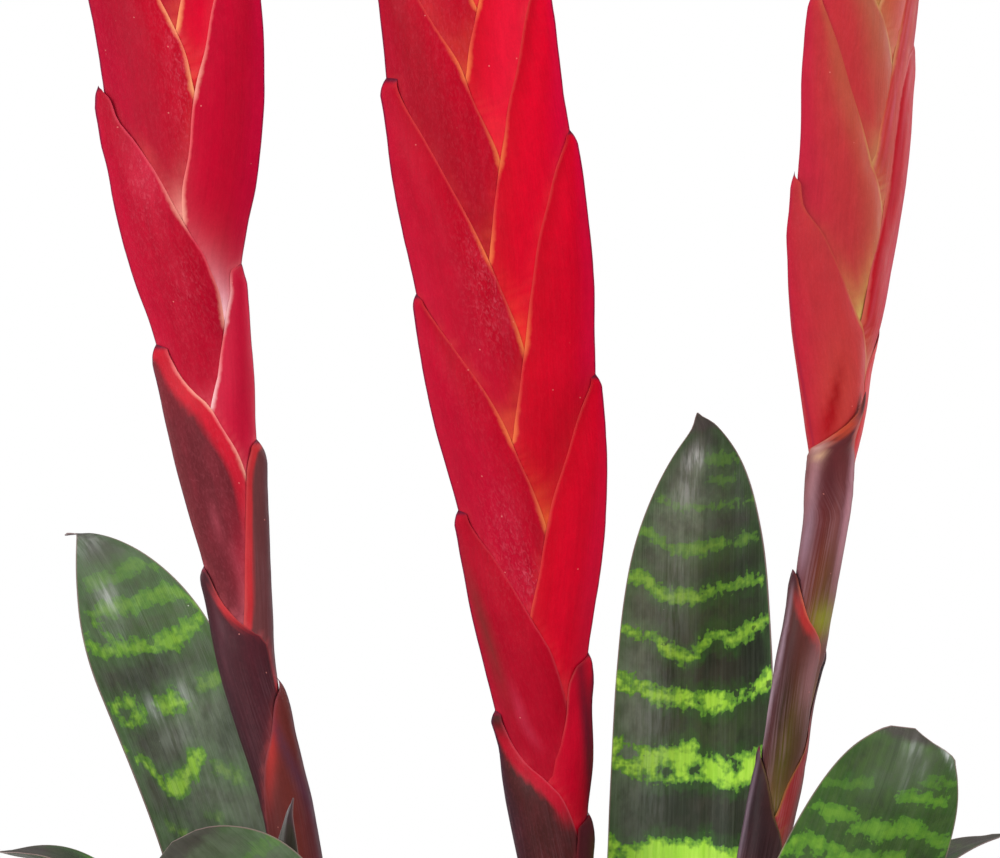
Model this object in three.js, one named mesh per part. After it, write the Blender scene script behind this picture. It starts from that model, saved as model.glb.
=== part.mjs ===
// Flaming sword bromeliad: a clump of three rosettes with three flattened flower spikes,
// standing on its compact root ball. Millimetres, +Z up, the flat base centred on the origin.
import * as THREE from 'three';

// ---------------------------------------------------------------- driving dimensions

const ROOT_BALL_HEIGHT = 90;       // soil and roots, kept in the shape they grew in
const ROOT_BALL_LOW_RADIUS = 52;
const ROOT_BALL_TOP_RADIUS = 67;
const GAP = 0.3;                   // between touching pieces

const AXIS_RADIUS = 2.7;           // flower axis inside the bracts
const STEM_RADIUS = 5.0;           // flower stem below the bracts
const CROWN_RADIUS = 8.6;          // short stem inside the rosette

const BRACT_THICK = 0.6;
const LEVEL_STEP = 1.0;            // how far each bract stands outside the next one up
const TIP_FLARE = 1.6;             // how far a bract tip stands off
const BUD_LEVELS = 3.2;
const SECTION_STEP = 30;           // degrees between the facets of a spike section

const LEAF_FIRST_RADIUS = 11.2;    // innermost leaf sheath
const LEAF_RING_STEP = 2.05;
const LEAF_THICK = 1.2;
const LEAF_CHANNEL_RADIUS = 46;    // the leaf blade is a shallow channel
const SHEATH_WIDEN = 1.1;
const SHEATH_OPEN_FROM = 1.02;     // share of the sheath length where the sheath starts to flatten
const SHEATH_OPEN_SPAN = 90;
const LEAF_ROWS = 11;
const LEAF_COLUMNS = 4;

// name, rosette, ring from the centre, azimuth, length, width, sheath length,
// first lean, lean at the tip (degrees from upright), how late it bends, turn of its heading,
// sideways lean in its own plane, then the pointed end: its length, fullness and sharpness
const LEAVES = [
  ['left_leaf_01', 'left', 0, 216.02, 214.17, 33.6, 69.88, 13.43, 9.15, 3.71, 0.22, 23.14, 133.08, 3.32, 1.12],
  ['left_leaf_02', 'left', 1, 126.26, 298.52, 34.42, 63.36, 13.74, 118.25, 11.16, -36.98, 23.4, 58.28, 1.95, 1.62],
  ['left_leaf_03', 'left', 2, 177.89, 220.53, 34.24, 57.48, 15.45, 92.95, 4.19, -3.05, 0.56, 26.87, 3.47, 1.12],
  ['left_leaf_04', 'left', 3, 96, 236, 38, 52, 15, 98, 1.7, 0, 0, 61, 2.2, 0.8],
  ['left_leaf_05', 'left', 4, 288.6, 214.21, 40.91, 56, 9.5, 35.58, 3.51, -39.69, -37.87, 28.43, 2.87, 0.52],
  ['left_leaf_06', 'left', 5, 166, 276, 39, 36, 24, 112, 1.4, 0, 0, 72, 2.2, 0.8],
  ['left_leaf_07', 'left', 6, 222, 280, 40, 28, 28, 118, 1.3, 0, 0, 73, 2.2, 0.8],
  ['left_leaf_08', 'left', 7, 142, 270, 40, 20, 30, 120, 1.3, 0, 0, 70, 2.2, 0.8],
  ['left_leaf_09', 'left', 8, 250, 262, 40, 12, 40, 124, 1.2, 0, 0, 68, 2.2, 0.8],
  ['middle_leaf_01', 'middle', 0, 96, 200, 37, 70, 8, 82, 2.0, 0, 0, 52, 2.2, 0.8],
  ['middle_leaf_02', 'middle', 1, 52, 222, 38, 62, 14, 92, 1.8, 0, 0, 58, 2.2, 0.8],
  ['middle_leaf_03', 'middle', 2, 140, 230, 38, 54, 16, 98, 1.7, 0, 0, 60, 2.2, 0.8],
  ['middle_leaf_04', 'middle', 3, 78, 262, 39, 46, 18, 104, 1.6, 0, 0, 68, 2.2, 0.8],
  ['middle_leaf_05', 'middle', 4, 112, 268, 39, 38, 22, 110, 1.5, 0, 0, 70, 2.2, 0.8],
  ['middle_leaf_06', 'middle', 5, 36, 270, 40, 30, 26, 114, 1.4, 0, 0, 70, 2.2, 0.8],
  ['middle_leaf_07', 'middle', 6, 128, 266, 40, 22, 32, 120, 1.3, 0, 0, 69, 2.2, 0.8],
  ['middle_leaf_08', 'middle', 7, 90, 262, 40, 14, 40, 124, 1.2, 0, 0, 68, 2.2, 0.8],
  ['right_leaf_01', 'right', 0, 69.75, 320.38, 45.28, 72.65, 13.72, 27.8, 0.48, -11.79, 14.51, 377.61, 15.14, 1.04],
  ['right_leaf_02', 'right', 2, -60.89, 247.71, 42.73, 59.5, 26.84, 31.33, 2.76, -39.38, 18.39, 83.31, 2.66, 0.4],
  ['right_leaf_03', 'right', 1, 38.32, 234.68, 31.51, 63.95, 24.23, 94.14, 3.7, 3.19, -4.38, 120.43, 1.26, 0.5],
  ['right_leaf_04', 'right', 3, -96, 246, 38, 52, 18, 102, 1.6, 0, 0, 64, 2.2, 0.8],
  ['right_leaf_05', 'right', 4, 44, 266, 39, 44, 20, 108, 1.6, 0, 0, 69, 2.2, 0.8],
  ['right_leaf_06', 'right', 5, -8, 276, 39, 36, 26, 114, 1.4, 0, 0, 72, 2.2, 0.8],
  ['right_leaf_07', 'right', 6, -40, 276, 40, 28, 30, 118, 1.3, 0, 0, 72, 2.2, 0.8],
  ['right_leaf_08', 'right', 7, 26, 268, 40, 18, 36, 122, 1.2, 0, 0, 70, 2.2, 0.8],
];

// Three flower spikes. half: [height, half angle of the bract's wrap in radians] up to its tip.
const SPIKES = {
  left: {
    crown: [-34, -8], turn: 0,
    // height, axis x, axis y, half width on the left, on the right, half thickness, roundness exponent
    cage: [
      [258, -43.98, -6, 6.86, 5.86, 5.59, 0.51],
      [269.7, -46.75, -5.7, 6.82, 5.82, 5.47, 0.514],
      [281.3, -49.48, -5.4, 6.62, 5.56, 5.16, 0.52],
      [293, -51.76, -5.11, 6.37, 5.26, 4.82, 0.527],
      [304.6, -54.85, -4.81, 6.29, 5.16, 4.54, 0.534],
      [316.3, -57.88, -4.51, 6.53, 5.04, 4.44, 0.54],
      [328, -60.25, -4.21, 7.04, 5.16, 4.54, 0.551],
      [339.6, -61.69, -3.91, 7.5, 5.61, 4.63, 0.58],
      [351.3, -62.88, -3.62, 8.73, 5.8, 4.83, 0.626],
      [363, -64.22, -3.32, 10.4, 6.17, 5.07, 0.675],
      [374.7, -65.6, -3.02, 11.73, 6.36, 5.14, 0.724],
      [386.3, -67.16, -2.73, 12.35, 6.59, 5.19, 0.773],
      [398, -68.48, -2.43, 12.91, 7.07, 5.33, 0.822],
      [409.7, -69.66, -2.13, 14.51, 6.97, 5.45, 0.871],
      [421.4, -71.18, -1.83, 16.74, 7.53, 5.84, 0.92],
      [433.1, -72.71, -1.54, 18.12, 10.05, 6.12, 0.967],
      [444.8, -74.01, -1.24, 18.9, 13.31, 6.17, 0.994],
      [456.5, -75.17, -0.94, 19.2, 15.31, 5.87, 1],
      [468.3, -76.2, -0.64, 19.12, 16.43, 5.8, 1],
      [480, -77.23, -0.35, 19.38, 16.64, 5.66, 1],
      [491.7, -78.36, -0.05, 19.76, 16.1, 5.16, 1],
      [503.4, -79.94, 0.25, 18.97, 15.67, 5.09, 1],
      [515.2, -81.15, 0.55, 17.09, 14.84, 5.22, 1],
      [526.9, -82.33, 0.84, 14.18, 12.95, 5.07, 1],
      [538.6, -83.49, 1.14, 10.65, 9.98, 4.6, 1],
      [550.4, -84.18, 1.44, 6.81, 6.1, 3.72, 1],
      [562.1, -84.87, 1.74, 2.84, 2.06, 2.01, 1],
      [571, -85.39, 1.96, 0.97, 0.2, 1.06, 1],
    ],
    // heights of the nodes where the bracts are joined to the axis, lowest first
    nodes: [272.6, 296.9, 321.2, 346.7, 369.8, 391.7, 416.1, 442.9, 464.8, 483.2, 499, 512.5, 524.7, 535.7, 545.5],
    nodeCount: [[232.6, -1.5], [272.6, 0], [296.9, 1], [321.2, 2], [346.7, 3], [369.8, 4], [391.7, 5], [416.1, 6], [442.9, 7], [464.8, 8], [483.2, 9], [499, 10], [512.5, 11], [524.7, 12], [535.7, 13], [545.5, 14], [577.4, 18]],
    bracts: {
      R4: { node: 0, keel: 0, half: [[272.6, 2.9], [279.9, 2.751], [286.2, 2.721], [291.5, 2.538], [298.8, 2.204], [304.8, 1.84], [311.4, 1.342], [318, 0.979], [324.1, 0]] },
      L3: { node: 1, keel: 180, half: [[296.9, 2.9], [312.4, 2.66], [331.3, 2.41], [334.6, 2.051], [336.6, 1.513], [340.6, 1.042], [345.2, 0.712], [348.4, 0.592], [351.3, 0]] },
      R3: { node: 2, keel: 0, half: [[321.2, 2.9], [327.9, 2.45], [336.2, 1.709], [339.2, 1.637], [347.9, 1.475], [357.8, 1.295], [367.8, 1.124], [374.4, 0.974], [380, 0.73], [382.2, 0]] },
      L2: { node: 3, keel: 180, half: [[346.7, 2.9], [357.9, 2.453], [371.7, 2.203], [374.4, 2.122], [379.8, 1.874], [384.4, 1.566], [390.3, 1.34], [393.6, 1.08], [398.3, 0.808], [404.1, 0.646], [405.3, 0]] },
      R2: { node: 4, keel: 0, half: [[369.8, 2.9], [377.7, 2.45], [387.3, 1.843], [390.3, 1.766], [402.3, 1.428], [409.6, 1.182], [419.7, 0.946], [423.4, 0.799], [425.6, 0]] },
      L1: { node: 5, keel: 180, half: [[391.7, 2.9], [398.5, 2.45], [406.8, 2.028], [409.6, 1.993], [417, 1.927], [423.7, 1.693], [431.7, 1.442], [445.1, 1.124], [457.8, 0.757], [464.5, 0.571], [467.3, 0.379], [468.3, 0]] },
      R1: { node: 6, keel: 0, half: [[416.1, 2.9], [423.7, 2.45], [433.1, 1.815], [436.4, 1.785], [442.4, 1.74], [451.8, 1.604], [460.4, 1.529], [468.3, 1.419], [477.2, 1.26], [485.2, 1.138], [500.3, 0.813], [509.8, 0.539], [516.6, 0]] },
      L0: { node: 7, keel: 180, half: [[442.9, 2.9], [452.3, 2.45], [463.9, 1.714], [467.2, 1.684], [473.9, 1.621], [481.9, 1.489], [489.3, 1.337], [497.1, 1.145], [505.9, 0.859], [513.7, 0.426], [518.1, 0]] },
    },
  },
  middle: {
    crown: [8, 34], turn: 0,
    // height, axis x, axis y, half width on the left, on the right, half thickness, roundness exponent
    cage: [
      [255.7, 16.59, 24, 8.58, 5.79, 5.57, 0.549],
      [267.5, 16.08, 23.82, 9.29, 5.9, 5.49, 0.565],
      [279.4, 15.57, 23.62, 10.72, 5.8, 5.32, 0.612],
      [291.3, 15.2, 23.26, 11.94, 6.24, 5.34, 0.684],
      [303.2, 14.8, 22.89, 12.8, 7.14, 5.34, 0.775],
      [315.1, 13.72, 22.54, 14.02, 7.19, 5.3, 0.867],
      [327, 12.65, 22.18, 15.31, 8.36, 5.71, 0.949],
      [338.9, 11.22, 21.82, 16.23, 10.85, 5.96, 0.993],
      [350.8, 9.79, 21.46, 16.57, 13.61, 5.84, 1],
      [362.6, 8.6, 21.1, 17.45, 15.4, 5.94, 1],
      [374.5, 7.36, 20.74, 18.83, 16.37, 5.94, 1],
      [386.4, 5.9, 20.38, 20.03, 16.82, 5.61, 1],
      [398.2, 4.43, 20.02, 20.62, 17.33, 5.58, 1],
      [410.1, 2.88, 19.66, 20.71, 18.07, 5.73, 1],
      [421.9, 1.18, 19.3, 20.81, 18.99, 5.78, 1],
      [433.7, -0.66, 18.94, 21.15, 19.34, 5.64, 1],
      [445.6, -2.35, 18.58, 21.37, 19.14, 5.21, 1],
      [457.4, -3.96, 18.23, 20.7, 18.94, 5.12, 1],
      [469.2, -6.25, 17.87, 19.63, 18.8, 5.35, 1],
      [481, -7.5, 17.51, 19.01, 18.03, 5.27, 1],
      [492.9, -8.39, 17.14, 18.89, 17.12, 4.97, 1],
      [504.7, -9.57, 16.79, 18.76, 16.99, 5.13, 1],
      [516.5, -10.75, 16.43, 18.39, 16.72, 5.41, 1],
      [528.3, -11.96, 16.07, 17.38, 15.57, 5.37, 1],
      [540, -13.52, 15.71, 15.63, 14, 5.22, 1],
      [551.8, -15.1, 15.35, 13.27, 12.02, 4.97, 1],
      [563.6, -16.67, 14.99, 10.28, 9.33, 4.52, 1],
      [575.4, -17.78, 14.63, 6.51, 5.6, 3.6, 1],
      [587.2, -18.87, 14.27, 2.31, 1.51, 1.63, 1],
      [596, -19.68, 14, 0.3, 0.2, 0.52, 1],
    ],
    // heights of the nodes where the bracts are joined to the axis, lowest first
    nodes: [255.7, 270.5, 287.4, 302.7, 320.6, 341.1, 366.1, 384.6, 408.1, 429.8, 453.7, 474.4, 492.9, 510.1, 526, 540.8, 553.1, 564.1],
    nodeCount: [[215.7, -1.5], [255.7, 0], [270.5, 1], [287.4, 2], [302.7, 3], [320.6, 4], [341.1, 5], [366.1, 6], [384.6, 7], [408.1, 8], [429.8, 9], [453.7, 10], [474.4, 11], [492.9, 12], [510.1, 13], [526, 14], [540.8, 15], [553.1, 16], [564.1, 17], [601, 21]],
    bracts: {
      R5: { node: 0, keel: 0, half: [[255.7, 2.9], [261.2, 2.45], [268, 1.381], [275.5, 1.086], [282.7, 0.992], [286.1, 0.962], [289.9, 0]] },
      L4: { node: 1, keel: 180, half: [[270.5, 2.9], [275.5, 2.643], [281.7, 2.393], [285.1, 2.157], [290.8, 1.806], [297.3, 1.346], [302.7, 0.836], [307.9, 0.567], [314.1, 0.464], [315.1, 0]] },
      R4: { node: 2, keel: 0, half: [[287.4, 2.9], [292.6, 2.45], [299, 1.73], [302.7, 1.662], [307.9, 1.466], [314.4, 1.206], [321.6, 1.079], [325.9, 0.869], [329.5, 0]] },
      L3: { node: 3, keel: 180, half: [[302.7, 2.9], [307.2, 2.45], [312.7, 2.056], [315.4, 2.002], [324.6, 1.745], [334.4, 1.456], [343.2, 1.204], [352.4, 0.902], [361.4, 0.557], [363.6, 0.508], [364.6, 0]] },
      R3: { node: 4, keel: 0, half: [[320.6, 2.9], [327.6, 2.45], [336.2, 1.834], [338.8, 1.787], [344.5, 1.669], [355.2, 1.485], [365.8, 1.295], [378.6, 0.977], [389, 0.695], [397.2, 0.403], [398.2, 0]] },
      L2: { node: 5, keel: 180, half: [[341.1, 2.9], [348.1, 2.45], [356.7, 1.782], [359.6, 1.749], [365.1, 1.669], [376.2, 1.471], [386.6, 1.314], [400.1, 0.962], [409.5, 0.644], [416, 0.412], [418, 0]] },
      R2: { node: 6, keel: 0, half: [[366.1, 2.9], [373.2, 2.45], [381.9, 1.742], [384.5, 1.703], [396.7, 1.545], [408.8, 1.381], [427.6, 1.141], [439.1, 0.923], [450.6, 0.627], [456.4, 0.417], [458.4, 0]] },
      L1: { node: 7, keel: 180, half: [[384.6, 2.9], [391.7, 2.45], [400.4, 1.725], [405.3, 1.695], [414.8, 1.557], [431, 1.344], [447.2, 1.045], [455.9, 0.841], [466.4, 0.576], [470.9, 0.522], [471.2, 0]] },
      R1: { node: 8, keel: 0, half: [[408.1, 2.9], [415.4, 2.45], [424.4, 1.758], [429.6, 1.693], [440.4, 1.557], [450.8, 1.403], [463, 1.222], [473.4, 0.997], [483.3, 0.82], [490.4, 0.658], [496.5, 0.483], [501.5, 0]] },
      L0: { node: 9, keel: 180, half: [[429.8, 2.9], [436.9, 2.45], [445.6, 1.737], [451.4, 1.707], [461.6, 1.567], [472.9, 1.438], [482.2, 1.182], [490.4, 0.949], [499.7, 0.66], [505.2, 0.522], [510.6, 0]] },
    },
  },
  right: {
    crown: [38, -16], turn: 48,
    // height, axis x, axis y, half width on the left, on the right, half thickness, roundness exponent
    cage: [
      [258.7, 58.27, -14, 6.38, 6.94, 5.66, 0.5],
      [270.3, 61, -14.23, 6.19, 6.67, 5.43, 0.5],
      [281.9, 63.7, -14.46, 5.82, 6.45, 5.03, 0.5],
      [293.5, 65.92, -14.69, 5.21, 6.61, 4.65, 0.5],
      [305.1, 68.12, -14.92, 5.23, 6.54, 4.54, 0.5],
      [316.7, 70.31, -15.15, 5.76, 6.07, 4.52, 0.5],
      [328.4, 72.52, -15.38, 5.96, 6.66, 4.68, 0.5],
      [340, 74.72, -15.61, 5.96, 7.06, 4.76, 0.5],
      [351.6, 76.68, -15.84, 6.27, 6.37, 4.96, 0.5],
      [363.1, 78.51, -16.07, 6.39, 5.84, 5.14, 0.5],
      [374.7, 79.66, -16.3, 6.52, 6.14, 4.92, 0.507],
      [386.3, 80.56, -16.53, 8.3, 7.52, 5.04, 0.567],
      [397.9, 81.05, -16.76, 11.83, 9.53, 5.28, 0.683],
      [409.5, 81.81, -16.99, 15.52, 12.73, 5.72, 0.817],
      [421.1, 82.79, -17.23, 18.18, 15.77, 5.92, 0.933],
      [432.6, 83.83, -17.46, 19.4, 17.48, 5.66, 0.993],
      [444.2, 85.12, -17.69, 19.38, 17.85, 5.61, 1],
      [455.8, 86.11, -17.92, 19.25, 17.65, 5.51, 1],
      [467.3, 86.55, -18.14, 19.13, 17.37, 5.05, 1],
      [478.9, 87.32, -18.38, 18.17, 17.44, 4.86, 1],
      [490.5, 88.59, -18.61, 17.63, 16.69, 4.87, 1],
      [502, 90.31, -18.84, 17.51, 15.43, 5.12, 1],
      [513.6, 92.05, -19.07, 16.56, 13.81, 5.17, 1],
      [525.1, 93.49, -19.3, 14.23, 11.54, 4.99, 1],
      [536.7, 94.83, -19.53, 9.95, 8.01, 4.29, 1],
      [548.2, 96.16, -19.76, 3.89, 2.9, 2.15, 1],
      [559.7, 97.49, -19.99, 0.5, 0.2, 0.64, 1],
    ],
    // heights of the nodes where the bracts are joined to the axis, lowest first
    nodes: [269.6, 287.7, 309.5, 333.7, 354.2, 374.7, 393.6, 413.3, 432.2, 455.5, 472.4, 486.9, 500.1, 511.6, 521.7, 531.4],
    nodeCount: [[229.6, -1.5], [269.6, 0], [287.7, 1], [309.5, 2], [333.7, 3], [354.2, 4], [374.7, 5], [393.6, 6], [413.3, 7], [432.2, 8], [455.5, 9], [472.4, 10], [486.9, 11], [500.1, 12], [511.6, 13], [521.7, 14], [531.4, 15], [565.2, 19]],
    bracts: {
      L6: { node: 0, keel: 142, half: [[269.6, 2.9], [275.6, 2.55], [282.9, 2.3], [292.1, 1.5], [297.4, 1.1], [302, 0.7], [305.1, 0.35], [308.3, 0]] },
      R5: { node: 1, keel: -13, half: [[282.9, 2.5], [287.7, 2.9], [290.9, 2], [298.6, 1.6], [304.7, 1.1], [308.5, 0.85], [323, 0.5], [331, 0]] },
      L4: { node: 2, keel: 142, half: [[309.5, 2.9], [319.7, 2.585], [332.2, 2.335], [334.9, 2.04], [338.9, 1.388], [344.8, 0.873], [348.2, 0.627], [350.8, 0]] },
      B3: { node: 3, keel: -97, half: [[333.7, 2.9], [351.1, 2.75], [372.3, 2.5], [376.7, 1.9], [380.8, 1.35], [383.9, 0.8], [386.8, 0.4], [390.4, 0.16], [393.6, 0]] },
      R3: { node: 4, keel: 0, half: [[354.2, 2.9], [367.8, 2.45], [384.4, 1.141], [391.6, 1.111], [397.5, 1.081], [402.8, 1.051], [410.5, 0]] },
      L2: { node: 5, keel: 180, half: [[374.7, 2.9], [386.5, 2.45], [400.8, 1.988], [404.1, 1.822], [410.1, 1.583], [418, 1.278], [424.6, 1.056], [431.2, 0.853], [437.8, 0.559], [443.2, 0.394], [446.1, 0]] },
      R2: { node: 6, keel: 0, half: [[393.6, 2.9], [401.2, 2.45], [410.5, 1.543], [412.7, 1.513], [424.6, 1.428], [436.5, 1.262], [442.5, 1.194], [453.7, 1.164], [463, 1.065], [474.8, 0.777], [479.4, 0]] },
      L1: { node: 7, keel: 180, half: [[413.3, 2.9], [423.7, 2.45], [436.3, 1.913], [439.2, 1.819], [444.5, 1.655], [451.1, 1.464], [458.3, 1.297], [465.6, 1.124], [474.9, 0.899], [482.8, 0.634], [487.6, 0.44], [488.8, 0]] },
      R1: { node: 8, keel: 0, half: [[432.2, 2.9], [438.7, 2.45], [446.6, 1.622], [449.1, 1.592], [455.1, 1.522], [462.3, 1.386], [473.5, 1.194], [481.5, 1.094], [488.1, 1.038], [497.7, 0.995], [507.3, 0]] },
      L0: { node: 9, keel: 180, half: [[455.5, 2.9], [463, 2.45], [472.2, 1.965], [475.5, 1.862], [481.5, 1.656], [488.1, 1.386], [492.9, 1.147], [499.6, 0.855], [506.1, 0.559], [512.1, 0]] },
    },
  },
};

const DEG = Math.PI / 180;

// ---------------------------------------------------------------- helpers

// straight-line lookup in a table of [x, y] rows, x rising
function lookup(table, x, col = 1) {
  if (x <= table[0][0]) return table[0][col];
  for (let i = 1; i < table.length; i++) {
    if (x <= table[i][0]) {
      const a = table[i - 1], b = table[i];
      return a[col] + ((b[col] - a[col]) * (x - a[0])) / (b[0] - a[0]);
    }
  }
  return table[table.length - 1][col];
}
const clamp01 = (x) => Math.min(1, Math.max(0, x));
const smooth = (x) => { const t = clamp01(x); return t * t * (3 - 2 * t); };

// Closed body from two sheets of rows. Row i holds { keys, outer, inner }: the keys rise along
// the row and match neighbouring rows, outer and inner are the points of the two sheets.
// A last row of one point closes both sheets at the tip.
function sheetBody(rows) {
  const pos = [], idx = [];
  const put = (p) => { pos.push(p[0], p[1], p[2]); return pos.length / 3 - 1; };
  const R = rows.map((r) => {
    const single = r.keys.length === 1;
    const o = r.outer.map(put);
    return { keys: r.keys, o, i: single ? o : r.inner.map(put) };
  });
  for (let r = 0; r + 1 < R.length; r++) {
    const a = R[r], b = R[r + 1];
    let i = 0, j = 0;
    while (i < a.keys.length - 1 || j < b.keys.length - 1) {
      let stepA;
      if (i === a.keys.length - 1) stepA = false;
      else if (j === b.keys.length - 1) stepA = true;
      else {
        const da = a.keys[i + 1], db = b.keys[j + 1];
        stepA = da < db - 1e-9 ? true : db < da - 1e-9 ? false : i <= j;
      }
      if (stepA) {
        idx.push(a.o[i], a.o[i + 1], b.o[j]);
        idx.push(a.i[i + 1], a.i[i], b.i[j]);
        i++;
      } else {
        idx.push(a.o[i], b.o[j + 1], b.o[j]);
        idx.push(a.i[i], b.i[j], b.i[j + 1]);
        j++;
      }
    }
    const ea = a.keys.length - 1, eb = b.keys.length - 1;
    const single = b.keys.length === 1;
    idx.push(a.i[0], a.o[0], b.o[0]);
    if (!single) idx.push(a.i[0], b.o[0], b.i[0]);
    idx.push(a.o[ea], a.i[ea], b.i[eb]);
    if (!single) idx.push(a.o[ea], b.i[eb], b.o[eb]);
  }
  const f = R[0];
  for (let i = 0; i + 1 < f.keys.length; i++) {
    idx.push(f.o[i], f.i[i], f.o[i + 1]);
    idx.push(f.i[i], f.i[i + 1], f.o[i + 1]);
  }
  return solid(pos, idx);
}

// Closed body from rings of equal length, with a flat or pointed cap at each end.
function ringBody(rings) {
  const pos = [], idx = [];
  const put = (p) => { pos.push(p[0], p[1], p[2]); return pos.length / 3 - 1; };
  const R = rings.map((r) => r.map(put));
  const n = rings[0].length;
  for (let r = 0; r + 1 < R.length; r++) {
    for (let i = 0; i < n; i++) {
      const k = (i + 1) % n;
      idx.push(R[r][i], R[r][k], R[r + 1][k], R[r][i], R[r + 1][k], R[r + 1][i]);
    }
  }
  for (const [r, flip] of [[0, true], [R.length - 1, false]]) {
    const c = [0, 0, 0];
    for (const p of rings[r]) for (let a = 0; a < 3; a++) c[a] += p[a] / n;
    const m = put(c);
    for (let i = 0; i < n; i++) {
      const k = (i + 1) % n;
      if (flip) idx.push(m, R[r][k], R[r][i]);
      else idx.push(m, R[r][i], R[r][k]);
    }
  }
  return solid(pos, idx);
}

// Buffer geometry with its faces turned outwards.
function solid(pos, idx) {
  let vol = 0;
  for (let t = 0; t < idx.length; t += 3) {
    const [a, b, c] = [idx[t] * 3, idx[t + 1] * 3, idx[t + 2] * 3];
    vol += pos[a] * (pos[b + 1] * pos[c + 2] - pos[b + 2] * pos[c + 1])
      - pos[a + 1] * (pos[b] * pos[c + 2] - pos[b + 2] * pos[c])
      + pos[a + 2] * (pos[b] * pos[c + 1] - pos[b + 1] * pos[c]);
  }
  if (vol < 0) for (let t = 0; t < idx.length; t += 3) [idx[t + 1], idx[t + 2]] = [idx[t + 2], idx[t + 1]];
  const g = new THREE.BufferGeometry();
  g.setAttribute('position', new THREE.Float32BufferAttribute(pos, 3));
  g.setIndex(idx);
  g.computeVertexNormals();
  return g;
}

// ---------------------------------------------------------------- spikes

// Point on the section of a spike at height z. alpha is measured from the spike's own +X edge,
// off is how far the sheet stands outside the core.
function spikePoint(sp, z, alpha, off, e = null) {
  const c = Math.cos(alpha);
  let E = (c < 0 ? lookup(sp.cage, z, 3) : lookup(sp.cage, z, 4)) + off;
  let H = lookup(sp.cage, z, 5) + off;
  if (e !== null) {
    // near the joint the sheet closes in on the round axis
    E = e.r + (E - e.r) * e.f;
    H = e.r + (H - e.r) * e.f;
  }
  const q0 = lookup(sp.cage, z, 6);
  const q = e === null ? q0 : 0.5 + (q0 - 0.5) * e.f;
  const u = E * c;
  const v = Math.sign(Math.sin(alpha)) * H * Math.pow(Math.max(0, 1 - c * c), q);
  const t = sp.turn * DEG;
  return [
    lookup(sp.cage, z, 1) + u * Math.cos(t) - v * Math.sin(t),
    lookup(sp.cage, z, 2) + u * Math.sin(t) + v * Math.cos(t),
    z,
  ];
}

// The same point on the flat facets between fixed angles, so that nested sheets stay parallel.
function facetPoint(sp, z, alpha, off, e = null) {
  const s = SECTION_STEP * DEG;
  const k = Math.floor(alpha / s + 1e-9);
  const f = alpha / s - k;
  const a = spikePoint(sp, z, k * s, off, e);
  if (f < 1e-6) return a;
  const b = spikePoint(sp, z, (k + 1) * s, off, e);
  return a.map((v, i) => v + (b[i] - v) * f);
}

function bractBody(sp, br) {
  const z0 = sp.nodes[br.node], z1 = sp.nodes[br.node + 1];
  const tip = br.half[br.half.length - 1][0];
  const zs = [z0, (z0 + z1) / 2, z1];
  for (const row of sp.cage) {
    const z = row[0];
    if (z > z1 + 4 && z < tip - 5) zs.push(z);
  }
  if (tip - zs[zs.length - 1] > 9) zs.push(tip - 3);
  // more rows where the margins turn in fast
  for (let i = 0; i + 1 < zs.length; i++) {
    if (Math.abs(lookup(br.half, zs[i + 1]) - lookup(br.half, zs[i])) > 0.75 && zs[i + 1] - zs[i] > 2.5) {
      zs.splice(i + 1, 0, (zs[i] + zs[i + 1]) / 2);
      i--;
    }
  }
  const step = SECTION_STEP * DEG, keel = br.keel * DEG;
  const rows = zs.map((z) => {
    const h = lookup(br.half, z);
    const lo = keel - h, hi = keel + h;
    const keys = [lo];
    for (let k = Math.ceil(lo / step); k * step < hi; k++) {
      if (k * step > lo + 0.06 && k * step < hi - 0.06) keys.push(k * step);
    }
    keys.push(hi);
    const e = z < z1 - 1e-6 ? { r: AXIS_RADIUS + 0.8, f: smooth((z - z0) / (z1 - z0)) } : null;
    const off = LEVEL_STEP * (lookup(sp.nodeCount, z) - br.node) + TIP_FLARE * Math.pow(clamp01(1 - (tip - z) / 16), 2);
    return {
      keys,
      outer: keys.map((a) => facetPoint(sp, z, a, off + BRACT_THICK / 2, e && { r: e.r + BRACT_THICK / 2, f: e.f })),
      inner: keys.map((a) => facetPoint(sp, z, a, off - BRACT_THICK / 2, e && { r: e.r - BRACT_THICK / 2, f: e.f })),
    };
  });
  const offTip = LEVEL_STEP * (lookup(sp.nodeCount, tip) - br.node) + TIP_FLARE;
  rows.push({ keys: [keel], outer: [facetPoint(sp, tip, keel, offTip)], inner: [] });
  return sheetBody(rows);
}

// The closed bud of young bracts above the last separate one.
function tipBody(sp, first) {
  const z0 = sp.nodes[first], z1 = sp.nodes[first + 1];
  const zs = [z0, (z0 + z1) / 2, z1];
  const top = sp.cage[sp.cage.length - 1][0];
  for (const row of sp.cage) if (row[0] > z1 + 4 && row[0] < top - 1) zs.push(row[0]);
  zs.push(top);
  const rings = zs.map((z) => {
    const e = z < z1 - 1e-6 ? { r: AXIS_RADIUS + 0.8, f: smooth((z - z0) / (z1 - z0)) } : null;
    const off = LEVEL_STEP * Math.min(BUD_LEVELS, lookup(sp.nodeCount, z) - first) - 0.2;
    const shut = z > top - 1 ? 0.35 : 1;
    const ring = [];
    for (let a = 0; a < 360; a += SECTION_STEP) ring.push(spikePoint(sp, z, a * DEG, off * shut, e));
    return ring;
  });
  return ringBody(rings);
}

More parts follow.
